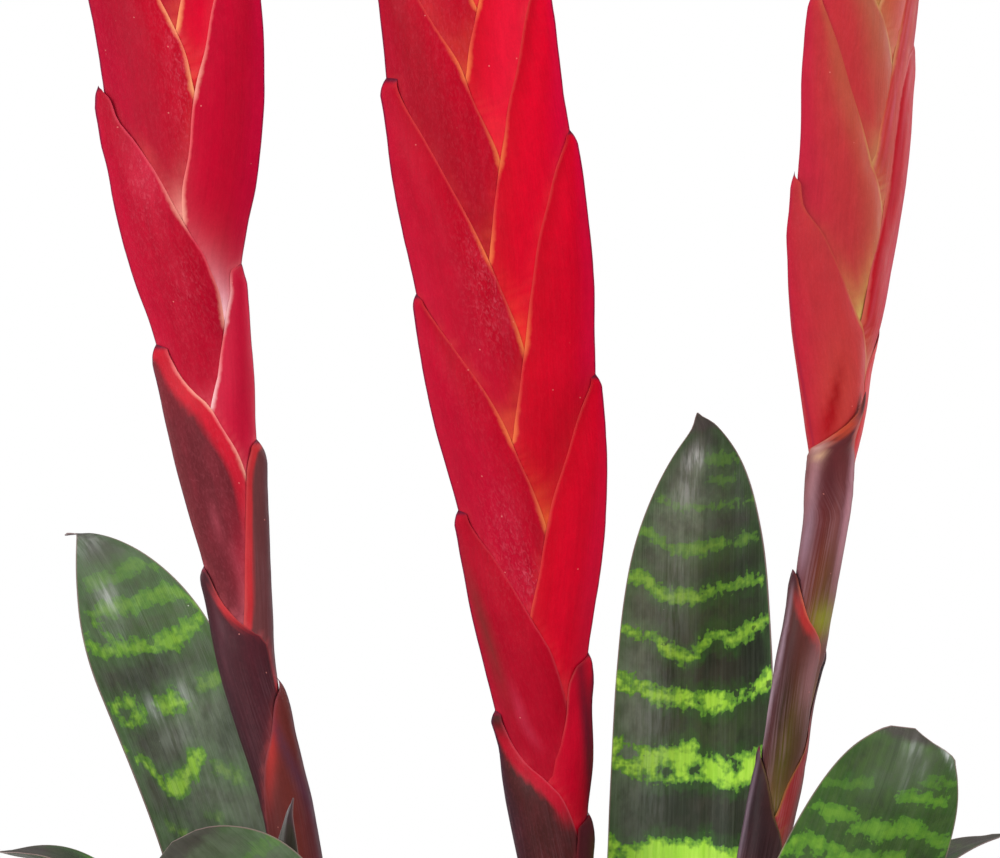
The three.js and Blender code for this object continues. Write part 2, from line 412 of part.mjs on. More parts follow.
// Centre of the flower stem at height z: it leaves its crown upright and runs into the spike.
function stemCentre(sp, z) {
  const zt = sp.cage[0][0];
  if (z >= zt) return [lookup(sp.cage, z, 1), lookup(sp.cage, z, 2)];
  const a = sp.cage[0], b = sp.cage[2];
  const t = (z - ROOT_BALL_HEIGHT) / (zt - ROOT_BALL_HEIGHT), L = zt - ROOT_BALL_HEIGHT;
  const h00 = 2 * t ** 3 - 3 * t ** 2 + 1, h01 = 1 - h00, h11 = t ** 3 - t ** 2;
  return [0, 1].map((i) => h00 * sp.crown[i] + h01 * a[1 + i] + h11 * L * ((b[1 + i] - a[1 + i]) / (b[0] - a[0])));
}

function stemBody(sp, topNode) {
  const low = sp.nodes[0], top = sp.nodes[topNode] - 0.5;
  const table = [
    [ROOT_BALL_HEIGHT + GAP, CROWN_RADIUS], [ROOT_BALL_HEIGHT + 16, CROWN_RADIUS], [ROOT_BALL_HEIGHT + 34, STEM_RADIUS],
    [ROOT_BALL_HEIGHT + 70, STEM_RADIUS], [ROOT_BALL_HEIGHT + 110, STEM_RADIUS], [low - 22, STEM_RADIUS], [low - 4, AXIS_RADIUS],
  ];
  for (const row of sp.cage) if (row[0] > low + 5 && row[0] < top - 5) table.push([row[0], AXIS_RADIUS]);
  table.push([top, AXIS_RADIUS * 0.8]);
  return ringBody(table.map(([z, r]) => {
    const [x, y] = stemCentre(sp, z);
    const ring = [];
    for (let k = 0; k < 8; k++) ring.push([x + r * Math.cos(k * 45 * DEG), y + r * Math.sin(k * 45 * DEG), z]);
    return ring;
  }));
}

// ---------------------------------------------------------------- leaves

// Centre line, width and roll of a leaf at equal steps from its base to its tip.
function leafLine(lf, steps) {
  const [, crown, ring, az, length, width, sheath, lean, end, power, drift, sway, point, full, sharp] = lf;
  const c = SPIKES[crown].crown;
  const r = LEAF_FIRST_RADIUS + ring * LEAF_RING_STEP;
  const out = [];
  const fine = 10;
  const A = az * DEG;
  const C = [c[0] + r * Math.cos(A), c[1] + r * Math.sin(A), ROOT_BALL_HEIGHT + GAP + 0.2];
  for (let k = 0; k <= steps * fine; k++) {
    const s = (k / (steps * fine)) * length;
    const u = Math.max(0, (s - sheath) / (length - sheath));
    const I = (lean * (1 - Math.exp(-u / 0.07)) + (end - lean) * Math.pow(u, power)) * DEG;
    const a2 = A + drift * u * u * DEG, side = sway * u * DEG;
    const T0 = [Math.sin(I) * Math.cos(a2), Math.sin(I) * Math.sin(a2), Math.cos(I)];
    const W0 = [-Math.sin(a2), Math.cos(a2), 0];
    const T = T0.map((v, i) => v * Math.cos(side) + W0[i] * Math.sin(side));
    const W = W0.map((v, i) => v * Math.cos(side) - T0[i] * Math.sin(side));
    const N = [-Math.cos(I) * Math.cos(a2), -Math.cos(I) * Math.sin(a2), Math.sin(I)];
    if (k > 0) for (let i = 0; i < 3; i++) C[i] += T[i] * (length / (steps * fine));
    if (k % fine === 0) {
      const open = smooth((s - sheath * SHEATH_OPEN_FROM) / SHEATH_OPEN_SPAN);
      const taper = Math.pow(Math.max(0, 1 - Math.pow(1 - Math.min(1, (length - s) / point), full)), sharp);
      out.push({
        t: s / length, s, C: C.slice(), N, W,
        rho: r + (LEAF_CHANNEL_RADIUS - r) * open,
        half: (width / 2) * taper * (1 + (SHEATH_WIDEN - 1) * (1 - open)),
      });
    }
  }
  return out;
}

function leafBody(lf) {
  const steps = LEAF_ROWS;
  const line = leafLine(lf, steps);
  const n = lf[2] < 4 ? LEAF_COLUMNS + 2 : LEAF_COLUMNS;
  const rows = line.slice(0, -1).map((p) => {
    const keys = [], outer = [], inner = [];
    const th = LEAF_THICK * (1 - 0.35 * p.t);
    for (let j = 0; j <= n; j++) {
      const b = -1 + (2 * j) / n;
      const a = (b * p.half) / p.rho;
      const at = (d) => [0, 1, 2].map((i) => p.C[i] + (p.rho + d) * Math.sin(a) * p.W[i] + (p.rho - (p.rho + d) * Math.cos(a)) * p.N[i]);
      keys.push(b);
      outer.push(at(th / 2));
      inner.push(at(-th / 2));
    }
    return { keys, outer, inner };
  });
  const e = line[line.length - 1];
  rows.push({ keys: [0], outer: [e.C], inner: [] });
  return sheetBody(rows);
}

// ---------------------------------------------------------------- root ball

function rootBallBody() {
  const rings = [];
  const levels = [[0, 0.985], [5, 1], [28, 1], [58, 1], [82, 1], [ROOT_BALL_HEIGHT, 0.97]];
  levels.forEach(([z, k], r) => {
    const ring = [];
    for (let i = 0; i < 30; i++) {
      const a = (i * 12) * DEG;
      const base = ROOT_BALL_LOW_RADIUS + (ROOT_BALL_TOP_RADIUS - ROOT_BALL_LOW_RADIUS) * (z / ROOT_BALL_HEIGHT);
      const bump = r === 0 || r === levels.length - 1 ? 0 : 0.6 * Math.sin(5 * a + r * 1.7) + 0.5 * Math.sin(9 * a - r * 2.3);
      const rad = base * k + bump;
      ring.push([rad * Math.cos(a), rad * Math.sin(a), z]);
    }
    rings.push(ring);
  });
  return ringBody(rings);
}

// ---------------------------------------------------------------- assembly

const paint = (color, roughness) => new THREE.MeshStandardMaterial({ color: new THREE.Color(...color), roughness, metalness: 0 });
const COLORS = {
  bract: [0.62, 0.02, 0.06], stalk: [0.22, 0.03, 0.06], stem: [0.30, 0.08, 0.09], leaf: [0.07, 0.14, 0.05], soil: [0.06, 0.04, 0.025],
};
const group = new THREE.Group();
const add = (name, geometry, material) => {
  const m = new THREE.Mesh(geometry, material);
  m.name = name;
  group.add(m);
};

add('root_ball', rootBallBody(), paint(COLORS.soil, 0.95));
for (const side of ['left', 'middle', 'right']) {
  const sp = SPIKES[side];
  const names = Object.keys(sp.bracts);
  const first = names.length;
  add(`${side}_flower_stem`, stemBody(sp, first), paint(COLORS.stem, 0.5));
  for (const n of names) {
    const low = sp.bracts[n].node < (side === 'right' ? 4 : side === 'left' ? 3 : 2);
    add(`${side}_bract_${String(sp.bracts[n].node + 1).padStart(2, '0')}`, bractBody(sp, sp.bracts[n]), paint(low ? COLORS.stalk : COLORS.bract, 0.35));
  }
  add(`${side}_sword_tip`, tipBody(sp, first), paint(COLORS.bract, 0.35));
}
for (const lf of LEAVES) add(lf[0], leafBody(lf), paint(COLORS.leaf, 0.4));

export default group;
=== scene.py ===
import math
import bpy
import numpy as np
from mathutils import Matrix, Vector


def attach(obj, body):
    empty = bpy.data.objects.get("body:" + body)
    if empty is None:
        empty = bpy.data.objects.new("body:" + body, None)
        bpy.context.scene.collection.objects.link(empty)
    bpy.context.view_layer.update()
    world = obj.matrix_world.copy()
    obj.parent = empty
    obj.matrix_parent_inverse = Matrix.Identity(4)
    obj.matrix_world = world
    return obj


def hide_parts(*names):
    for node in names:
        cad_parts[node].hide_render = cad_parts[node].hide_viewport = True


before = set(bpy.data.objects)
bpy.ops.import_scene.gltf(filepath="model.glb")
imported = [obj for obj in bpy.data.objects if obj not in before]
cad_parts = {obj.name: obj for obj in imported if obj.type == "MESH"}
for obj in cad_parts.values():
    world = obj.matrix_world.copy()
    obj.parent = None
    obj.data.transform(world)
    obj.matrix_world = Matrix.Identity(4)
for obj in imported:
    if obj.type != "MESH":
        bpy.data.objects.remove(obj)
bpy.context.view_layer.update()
MM = 0.001


# =====================================================================  small numeric helpers

def clamp01(x):
    return np.clip(x, 0.0, 1.0)


def smooth(x):
    t = clamp01(x)
    return t * t * (3 - 2 * t)


def bell(x):
    return np.exp(-np.square(x))


class Curve:
    """Monotone cubic through a table of (x, y)."""

    def __init__(self, xs, ys):
        x = np.asarray(xs, float)
        y = np.asarray(ys, float)
        h = np.diff(x)
        d = np.diff(y) / h
        m = np.zeros(len(x))
        for i in range(1, len(x) - 1):
            if d[i - 1] * d[i] > 0:
                w1 = 2 * h[i] + h[i - 1]
                w2 = h[i] + 2 * h[i - 1]
                m[i] = (w1 + w2) / (w1 / d[i - 1] + w2 / d[i])
        m[0], m[-1] = d[0], d[-1]
        self.x, self.y, self.m, self.h = x, y, m, h

    def __call__(self, q):
        q = np.clip(np.asarray(q, float), self.x[0], self.x[-1])
        i = np.clip(np.searchsorted(self.x, q, side="right") - 1, 0, len(self.h) - 1)
        h = self.h[i]
        t = (q - self.x[i]) / h
        return (
            (2 * t**3 - 3 * t**2 + 1) * self.y[i]
            + (t**3 - 2 * t**2 + t) * h * self.m[i]
            + (-2 * t**3 + 3 * t**2) * self.y[i + 1]
            + (t**3 - t**2) * h * self.m[i + 1]
        )


def _hash(ix, iy, iz, seed):
    h = (ix * 374761393 + iy * 668265263 + iz * 2147483647 + seed * 974634777) & 0xFFFFFFFF
    h = ((h ^ (h >> 13)) * 1274126177) & 0xFFFFFFFF
    h = ((h ^ (h >> 16)) * 1103515245) & 0xFFFFFFFF
    return ((h >> 7) & 0xFFFFFF) / float(0xFFFFFF)


def noise3(x, y, z, seed=0):
    """Smooth value noise in -1..1, the same on every run."""
    x, y, z = np.broadcast_arrays(np.asarray(x, float), np.asarray(y, float), np.asarray(z, float))
    out = np.zeros(x.shape)
    xi, yi, zi = (np.floor(v).astype(np.int64) for v in (x, y, z))
    f = [v - i for v, i in ((x, xi), (y, yi), (z, zi))]
    f = [t * t * t * (t * (6 * t - 15) + 10) for t in f]
    for dx in (0, 1):
        for dy in (0, 1):
            for dz in (0, 1):
                w = (f[0] if dx else 1 - f[0]) * (f[1] if dy else 1 - f[1]) * (f[2] if dz else 1 - f[2])
                out += w * _hash(xi + dx, yi + dy, zi + dz, seed)
    return out * 2 - 1


def noise2(x, y, seed=0):
    return noise3(x, y, 0.37, seed)


def rnd(seed, k=0):
    return float(_hash(np.int64(seed), np.int64(k * 7 + 3), np.int64(11), 5))


def lin(r, g, b):
    """A display colour in 0..255 as a scene colour."""
    c = np.array([r, g, b], float) / 255.0
    return np.where(c <= 0.04045, c / 12.92, ((c + 0.055) / 1.055) ** 2.4)


def blend(a, b, t):
    t = np.asarray(t)[..., None]
    return a * (1 - t) + b * t


# =====================================================================  mesh helpers

class Soup:
    """Vertices, faces and per-vertex values, gathered from several sheets into one mesh."""

    def __init__(self):
        self.v, self.f, self.a, self.n = [], [], {}, 0

    def add(self, verts, faces, values):
        verts = np.asarray(verts, float).reshape(-1, 3)
        self.v.append(verts)
        self.f.append([tuple(int(i) + self.n for i in f) for f in faces])
        for k, val in values.items():
            self.a.setdefault(k, []).append(np.asarray(val, float))
        self.n += len(verts)

    def mesh(self, name, sharp=55):
        v = np.concatenate(self.v)
        faces = [f for part in self.f for f in part]
        me = bpy.data.meshes.new(name)
        me.from_pydata((v * MM).tolist(), [], faces)
        for k, parts in self.a.items():
            arr = np.concatenate(parts)
            if k == "col":
                at = me.attributes.new(k, "FLOAT_COLOR", "POINT")
                arr = np.concatenate([arr, np.ones((len(arr), 1))], axis=1)
                at.data.foreach_set("color", arr.astype(np.float32).ravel())
            else:
                at = me.attributes.new(k, "FLOAT_VECTOR", "POINT")
                at.data.foreach_set("vector", arr.astype(np.float32).ravel())
        me.polygons.foreach_set("use_smooth", [True] * len(me.polygons))
        me.update()
        me.set_sharp_from_angle(angle=math.radians(sharp))
        ob = bpy.data.objects.new(name, me)
        bpy.context.scene.collection.objects.link(ob)
        return ob


def grid_faces(R, C, base=0, flip=False):
    out = []
    for i in range(R - 1):
        for j in range(C - 1):
            a, b = base + i * C + j, base + i * C + j + 1
            c, d = a + C, b + C
            out.append((a, c, d, b) if flip else (a, b, d, c))
    return out


def sheet_faces(R, C):
    """Faces of a closed thin sheet: outer grid, inner grid, and the rim round them."""
    n = R * C
    f = grid_faces(R, C) + grid_faces(R, C, n, True)
    for j in range(C - 1):
        a, b = j, j + 1
        f.append((b, a, a + n, b + n))
        c, d = (R - 1) * C + j, (R - 1) * C + j + 1
        f.append((c, d, d + n, c + n))
    for i in range(R - 1):
        e, g = i * C, (i + 1) * C
        f.append((e, g, g + n, e + n))
        e, g = i * C + C - 1, (i + 1) * C + C - 1
        f.append((g, e, e + n, g + n))
    return f


def add_sheet(soup, outer, inner, values):
    """values: name -> (array for the outer sheet, array for the inner sheet), each R x C x k."""
    R, C = outer.shape[:2]
    i, j = R // 3, C // 2
    nrm = np.cross(outer[i, j + 1] - outer[i, j], outer[i + 1, j] - outer[i, j])
    out_dir = outer[i, j] - inner[i, j]
    faces = sheet_faces(R, C)
    if np.dot(nrm, out_dir) < 0:
        faces = [f[::-1] for f in faces]
    verts = np.concatenate([outer.reshape(-1, 3), inner.reshape(-1, 3)])
    vals = {k: np.concatenate([a.reshape(-1, a.shape[-1]), b.reshape(-1, b.shape[-1])]) for k, (a, b) in values.items()}
    soup.add(verts, faces, vals)


def tube(soup, path, radii, sides, values, cap=True):
    """A tube along a path of points. values: name -> array, one row a path point."""
    path = np.asarray(path, float)
    n = len(path)
    t = np.gradient(path, axis=0)
    t /= np.linalg.norm(t, axis=1)[:, None] + 1e-12
    up = np.array([0.0, 0.0, 1.0]) if abs(t[0][2]) < 0.9 else np.array([1.0, 0.0, 0.0])
    a = np.cross(t[0], up)
    a /= np.linalg.norm(a)
    verts, rings = [], []
    for i in range(n):
        a = a - t[i] * np.dot(a, t[i])
        a /= np.linalg.norm(a) + 1e-12
        b = np.cross(t[i], a)
        for k in range(sides):
            w = 2 * math.pi * k / sides
            verts.append(path[i] + radii[i] * (a * math.cos(w) + b * math.sin(w)))
    faces = []
    for i in range(n - 1):
        for k in range(sides):
            p, q = i * sides + k, i * sides + (k + 1) % sides
            faces.append((p, q, q + sides, p + sides))
    vals = {k: np.repeat(np.asarray(v, float), sides, axis=0) for k, v in values.items()}
    if cap:
        for end in (0, n - 1):
            verts.append(path[end])
            m = len(verts) - 1
            for k in range(sides):
                p, q = end * sides + k, end * sides + (k + 1) % sides
                faces.append((m, q, p) if end == 0 else (m, p, q))
            for name in vals:
                vals[name] = np.concatenate([vals[name], np.asarray(values[name][end], float)[None]])
    soup.add(verts, faces, vals)


def set_piece(ob, slot, *nodes):
    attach(ob, "root")
    if nodes:
        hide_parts(*nodes)


# =====================================================================  flower spikes

AXIS_R = 2.7
STEM_R = 5.0
BRACT_TH = 0.55
LEVEL = 1.0
FLARE = 1.15
BALL_TOP = 90.0
# wrap of a young bract by the node count above its own node
YOUNG_HALF = [(0, 2.9), (0.3, 2.45), (0.7, 1.73), (1.3, 1.56), (2.05, 1.33), (2.75, 1.04), (3.15, 0.82), (3.6, 0.52), (3.85, 0.0)]
# wrap of a stalk bract below the sword by its share of the length
STALK_HALF = [(0, 2.9), (0.35, 2.75), (0.55, 2.5), (0.7, 1.9), (0.82, 1.2), (0.92, 0.6), (1.0, 0.0)]


class Spike:
    def __init__(self, name, d):
        self.name, self.crown = name, d["crown"]
        self.turn = math.radians(d["turn"])
        cage = [tuple(float(v) for v in r) for r in d["cage"]]
        a, b = cage[0], cage[2]
        zt = a[0]
        ext = []
        for z in (BALL_TOP, 100, 118, 140, 165, 190, 215, 240):
            if z > zt - 14:
                continue
            t = (z - BALL_TOP) / (zt - BALL_TOP)
            h00 = 2 * t**3 - 3 * t**2 + 1
            h11 = t**3 - t**2
            L = zt - BALL_TOP
            x, y = (
                h00 * self.crown[i] + (1 - h00) * a[1 + i] + h11 * L * ((b[1 + i] - a[1 + i]) / (b[0] - a[0]))
                for i in (0, 1)
            )
            r = 7.6 if z < 101 else (5.4 if z < 119 else 4.7)
            ext.append((z, x, y, r, r, r, 0.5))
        cage = ext + cage
        cols = list(zip(*cage))
        self.bottom, self.top = cage[0][0], cage[-1][0]
        self.cx, self.cy, self.el, self.er, self.hh, self.qq = (Curve(cols[0], cols[k]) for k in range(1, 7))
        self.nodes = list(d["nodes"])
        nu = list(d["nu"])
        step = (nu[1][0] - nu[0][0]) / (nu[1][1] - nu[0][1])
        k = -1.5
        low = []
        while nu[0][0] + (k - nu[0][1]) * step > BALL_TOP + 8:
            low.append((nu[0][0] + (k - nu[0][1]) * step, k))
            k -= 0.5
        nu = sorted(low[1:]) + [tuple(r) for r in nu]
        self.nu_z, self.nu_k = [r[0] for r in nu], [r[1] for r in nu]
        self.nu = Curve(self.nu_z, self.nu_k)
        self.step = step
        self.bracts = d["bracts"]
        self.zg = np.arange(self.bottom, self.top + 3, 1.0)
        self.ag = np.radians(np.arange(-180, 180, 2.5))
        low_part = smooth((self.nodes[0] + 4 - self.zg) / 20.0)[:, None]
        self.field = np.repeat(-0.9 + 0.6 * low_part, len(self.ag), axis=1)
        self.margins = {}
        self.low_nodes = {}

    def node_z(self, k):
        return float(np.interp(k, self.nu_k, self.nu_z))

    def taper(self, z):
        """How much of the level step is left near the very top of the spike."""
        return np.power(clamp01((self.top + 3 - z) / 34.0), 0.75)

    def point(self, z, a, off, z0=None, z1=None, side=0.0):
        c, s = np.cos(a), np.sin(a)
        E = np.where(c < 0, self.el(z), self.er(z)) + off
        H = self.hh(z) + off
        q = self.qq(z)
        if z0 is not None:
            f = smooth((z - z0) / (z1 - z0))
            r = AXIS_R + 0.8 + side
            E, H, q = r + (E - r) * f, r + (H - r) * f, 0.5 + (q - 0.5) * f
        u = E * c
        v = np.sign(s) * H * np.power(np.maximum(0.0, 1 - c * c), q)
        ct, st = math.cos(self.turn), math.sin(self.turn)
        return np.stack([self.cx(z) + u * ct - v * st, self.cy(z) + u * st + v * ct, z + 0 * u], axis=-1)

    def level_at(self, z, a):
        """Outermost surface so far, smoothed, at heights z and angles a."""
        fz = np.clip((z - self.zg[0]) / 1.0, 0, len(self.zg) - 1.001)
        fa = (np.degrees(a) + 180.0) / 2.5
        iz = fz.astype(int)
        ia = np.floor(fa).astype(int)
        tz, ta = fz - iz, fa - ia
        n = len(self.ag)
        F = 0.45 * self.soft + 0.55 * self.field
        return (
            F[iz, ia % n] * (1 - tz) * (1 - ta)
            + F[iz + 1, ia % n] * tz * (1 - ta)
            + F[iz, (ia + 1) % n] * (1 - tz) * ta
            + F[iz + 1, (ia + 1) % n] * tz * ta
        )

    def soften(self):
        F = self.field
        M = F.copy()
        for dz in (-1, 0, 1):
            for da in (-1, 0, 1):
                M = np.maximum(M, np.roll(np.roll(F, dz, axis=0), da, axis=1))
        S = np.zeros_like(M)
        w = 0
        for dz in (-2, -1, 0, 1, 2):
            for da in (-2, -1, 0, 1, 2):
                k = 1.0 / (1 + dz * dz + da * da)
                S += k * np.roll(np.roll(M, dz, axis=0), da, axis=1)
                w += k
        self.soft = np.maximum(S / w, F)


def half_curve(table, keen=False):
    """Wrap against height, with a rounded or a drawn-out end."""
    zk, hk = table[-2]
    tip = table[-1][0]
    c = Curve([r[0] for r in table[:-1]], [r[1] for r in table[:-1]])
    blunt = tip - zk < 3.4

    def f(z):
        x = clamp01((z - zk) / (tip - zk))
        end = hk * np.power(np.maximum(0.0, 1 - x**1.25), 0.52 if blunt and not keen else 0.9)
        return np.where(z <= zk, c(z), end)

    return f


def build_bract(sp, k, keel_deg, table, paint, soup, seed, cells=30, dz=1.9, hug=1.0, flare=FLARE, wav=1.0, drop=1.25, rounded=1.25, skew=None, keen=False, swell=None, sink=0.05):
    """One bract: a thin sheet folded round the spike, its margins resting on the bracts inside it."""
    z0 = max(sp.node_z(k - drop), sp.bottom + 2)
    z1 = max(sp.node_z(k - drop + 0.8), z0 + 8)
    tip = table[-1][0]
    keel = math.radians(keel_deg)
    half = half_curve(table, keen)
    zs = list(np.arange(z0, tip - 5.0, dz)) + list(tip - 5.0 * np.power(np.linspace(1, 0, 15), 1.7))
    zs = np.array(zs)
    t = np.linspace(-1, 1, cells + 1)
    b = 0.82 * np.sin(np.pi / 2 * t) + 0.18 * t
    Z = np.repeat(zs[:, None], len(b), 1)
    hz = half(zs)
    wob = 0.018 * noise2(zs / 9.0, seed * 3.1, 7) * smooth((tip - zs) / 10) * wav
    hz = hz + wob
    if keen:
        hz = hz * (1 - 0.15 * bell((tip - zs - 7.6) / 4.0)) * (0.75 + 0.25 * smooth((tip - zs) / 3.0))
    hz = np.maximum(hz, 0.012)
    B = np.repeat(b[None], len(zs), 0)
    turn_at = (lambda z: np.radians(np.interp(z, [p[0] for p in skew], [p[1] for p in skew]))) if skew else (lambda z: 0.0 * z)
    A = keel + turn_at(zs)[:, None] + B * hz[:, None]
    seen = smooth((zs - z1) / 8.0)[:, None]
    nom = LEVEL * sp.taper(Z) * (sp.nu(Z) - k)
    sp.soften()
    base = sp.point(Z, A, nom, z0, z1)
    lo, hi = base[:, 0], base[:, -1]
    rim = np.concatenate([lo, hi])
    flat = base.reshape(-1, 3)
    mg = np.full(len(flat), 1e9)
    for q in np.array_split(rim, max(1, len(rim) // 40)):
        d = flat[:, None, :] - q[None]
        mg = np.minimum(mg, np.sqrt((d * d).sum(-1)).min(1))
    mg = mg.reshape(Z.shape)
    mg[:, 0] = mg[:, -1] = 0
    # the sheet rests on what is inside it at its margins and stands off between them
    F = sp.level_at(Z, np.mod(A + np.pi, 2 * np.pi) - np.pi)
    th = 0.12 + (BRACT_TH - 0.12) * smooth(mg / 5.0)
    rest = F + th / 2 - sink + (0.10 + sink) * smooth(mg / 1.2)
    s = smooth(mg / 7.5)
    off = rest + (np.maximum(nom, rest) - rest) * (s * hug + (1 - hug))
    off = off * seen + np.maximum(nom, -0.5) * (1 - seen)
    off = off + flare * (clamp01(1 - (tip - Z) / 20.0) if keen else np.square(clamp01(1 - (tip - Z) / 15.0)))
    off = off - rounded * np.square(clamp01(1 - (tip - Z) / 3.4))
    if swell:
        # fuller on one side, level with the tip of the bract below it
        off = off + swell[2] * bell((Z - swell[0]) / swell[1]) * clamp01(np.cos(A) + 0.4)
    # gentle unevenness along the sheet
    cum = np.concatenate([np.zeros((len(zs), 1)), np.cumsum(np.linalg.norm(np.diff(base, axis=1), axis=2), axis=1)], axis=1)
    X = cum - cum[:, len(b) // 2][:, None]
    Y = np.repeat((zs - z0)[:, None], len(b), 1)
    soft_in = smooth(mg / 3.0)
    bump = 0.16 * noise2(X / 5.5, Y / 24.0, seed) + 0.07 * noise2(X / 2.2, Y / 14.0, seed + 3) + 0.05 * noise2(X / 2.6, Y / 3.1, seed + 9)
    off = off + bump * wav * soft_in * seen
    f0 = dict(z0=z0, z1=z1)
    outer = sp.point(Z, A, off + th / 2, side=BRACT_TH / 2, **f0)
    inner = sp.point(Z, A, off - th / 2, side=-BRACT_TH / 2, **f0)
    # store where its outer face now is
    bz = np.interp(sp.zg, zs, np.arange(len(zs)), left=-1, right=-1)
    for i, fz in enumerate(bz):
        if fz < 0 or sp.zg[i] > tip or sp.zg[i] < z0:
            continue
        r = int(min(fz, len(zs) - 2))
        tz = fz - r
        h = hz[r] * (1 - tz) + hz[r + 1] * tz
        rel = np.mod(sp.ag - keel - turn_at(sp.zg[i]) + np.pi, 2 * np.pi) - np.pi
        inside = np.abs(rel) <= h
        if inside.any():
            row = (off[r] * (1 - tz) + off[r + 1] * tz) + BRACT_TH / 2
            sp.field[i, inside] = np.maximum(sp.field[i, inside], np.interp(rel[inside] / h, b, row))
    kd = np.abs(X)
    tp = tip - Z
    sp.margins[k] = dict(rim=np.concatenate([outer[:, 0], outer[:, -1]]), z=np.concatenate([zs, zs]), half=half, keel=keel, tip=tip)
    ctx = dict(sp=sp, k=k, keel=keel_deg, Z=Z, A=A, B=B, X=X, Y=Y, mg=mg, kd=kd, tp=tp, z0=z0, z1=z1, tip=tip,
               P=outer, seed=seed, f=(Z - z0) / (tip - z0), seen=seen)
    return dict(ctx=ctx, outer=outer, inner=inner, paint=paint, soup=soup, seed=seed)


def cover_distance(sp, ctx):
    """Distance of each point to the margin lines of the two bracts outside it, and the height over the V they make."""
    P = ctx["P"].reshape(-1, 3)
    k = ctx["k"]
    near = []
    for m in (k - 1, k - 2):
        best = np.full(len(P), 1e3)
        if m in sp.margins:
            rim = sp.margins[m]["rim"]
            for q in np.array_split(rim, max(1, len(rim) // 40)):
                d = P[:, None, :] - q[None]
                best = np.minimum(best, np.sqrt((d * d).sum(-1)).min(1))
        near.append(best.reshape(ctx["Z"].shape))
    zv = ctx["z0"] + 10
    if k - 1 in sp.margins and k - 2 in sp.margins:
        h1, h2 = sp.margins[k - 1], sp.margins[k - 2]
        zz = np.arange(ctx["z0"], min(h1["tip"], h2["tip"]), 0.5)
        if len(zz):
            g = h1["half"](zz) + h2["half"](zz)
            hit = np.nonzero(g < math.pi)[0]
            if len(hit):
                zv = zz[hit[0]]
    return near, zv


def crossing(sp, k1, k2):
    """Height at which the margins of two neighbouring bracts cross."""
    if k1 not in sp.margins or k2 not in sp.margins:
        return None
    a, b = sp.margins[k1], sp.margins[k2]
    zz = np.arange(min(a["z"].min(), b["z"].min()), min(a["tip"], b["tip"]), 0.5)
    hit = np.nonzero(a["half"](zz) + b["half"](zz) < math.pi)[0] if len(zz) else []
    return float(zz[hit[0]]) if len(hit) else None


def finish_bract(item):
    c = item["ctx"]
    sp = c["sp"]
    near, zv = cover_distance(sp, c)
    c["cover"], c["cover1"], c["cover2"], c["zv"] = np.minimum(*near), near[0], near[1], zv
    warm = np.zeros(c["Z"].shape)
    for pair, k in (((c["k"], c["k"] - 1), 1.0), ((c["k"] + 1, c["k"]), 0.9)):
        z = crossing(sp, *pair)
        if z is not None:
            d = c["Z"] - z
            warm = np.maximum(warm, k * bell(d / np.where(d > 0, 9.0, 2.5)))
    c["warm"] = warm
    col = item["paint"](c)
    r = rnd(item["seed"], 4)
    shape = c["Z"].shape
    coord = np.stack([c["X"], c["Y"], np.full(shape, 40.0 * r)], axis=-1)
    edge = np.stack([c["mg"], c["kd"], c["tp"]], axis=-1)
    one = np.stack([np.ones(shape), c["line"], c["warm"]], axis=-1)
    zero = np.stack([np.zeros(shape), c["line"], c["warm"]], axis=-1)
    # skin: dimpling, which also sets the painted pink sheen and glints, then shininess and keel crease
    skin = np.stack([c["dimple"], np.full(shape, c["shiny"]), np.full(shape, c["crease"])], axis=-1)
    # the inner face takes the outer colour at 0.9, a painted shade
    add_sheet(item["soup"], item["outer"], item["inner"], {
        "coord": (coord, coord), "edge": (edge, edge), "col": (col, col * 0.9), "side": (one, zero),
        "lcol": (c["lcol"], c["lcol"]), "skin": (skin, skin)})


def across(c):
    """Offset of a point from the middle of its spike, along the row of plants."""
    return c["P"][..., 0] - c["sp"].cx(c["Z"])


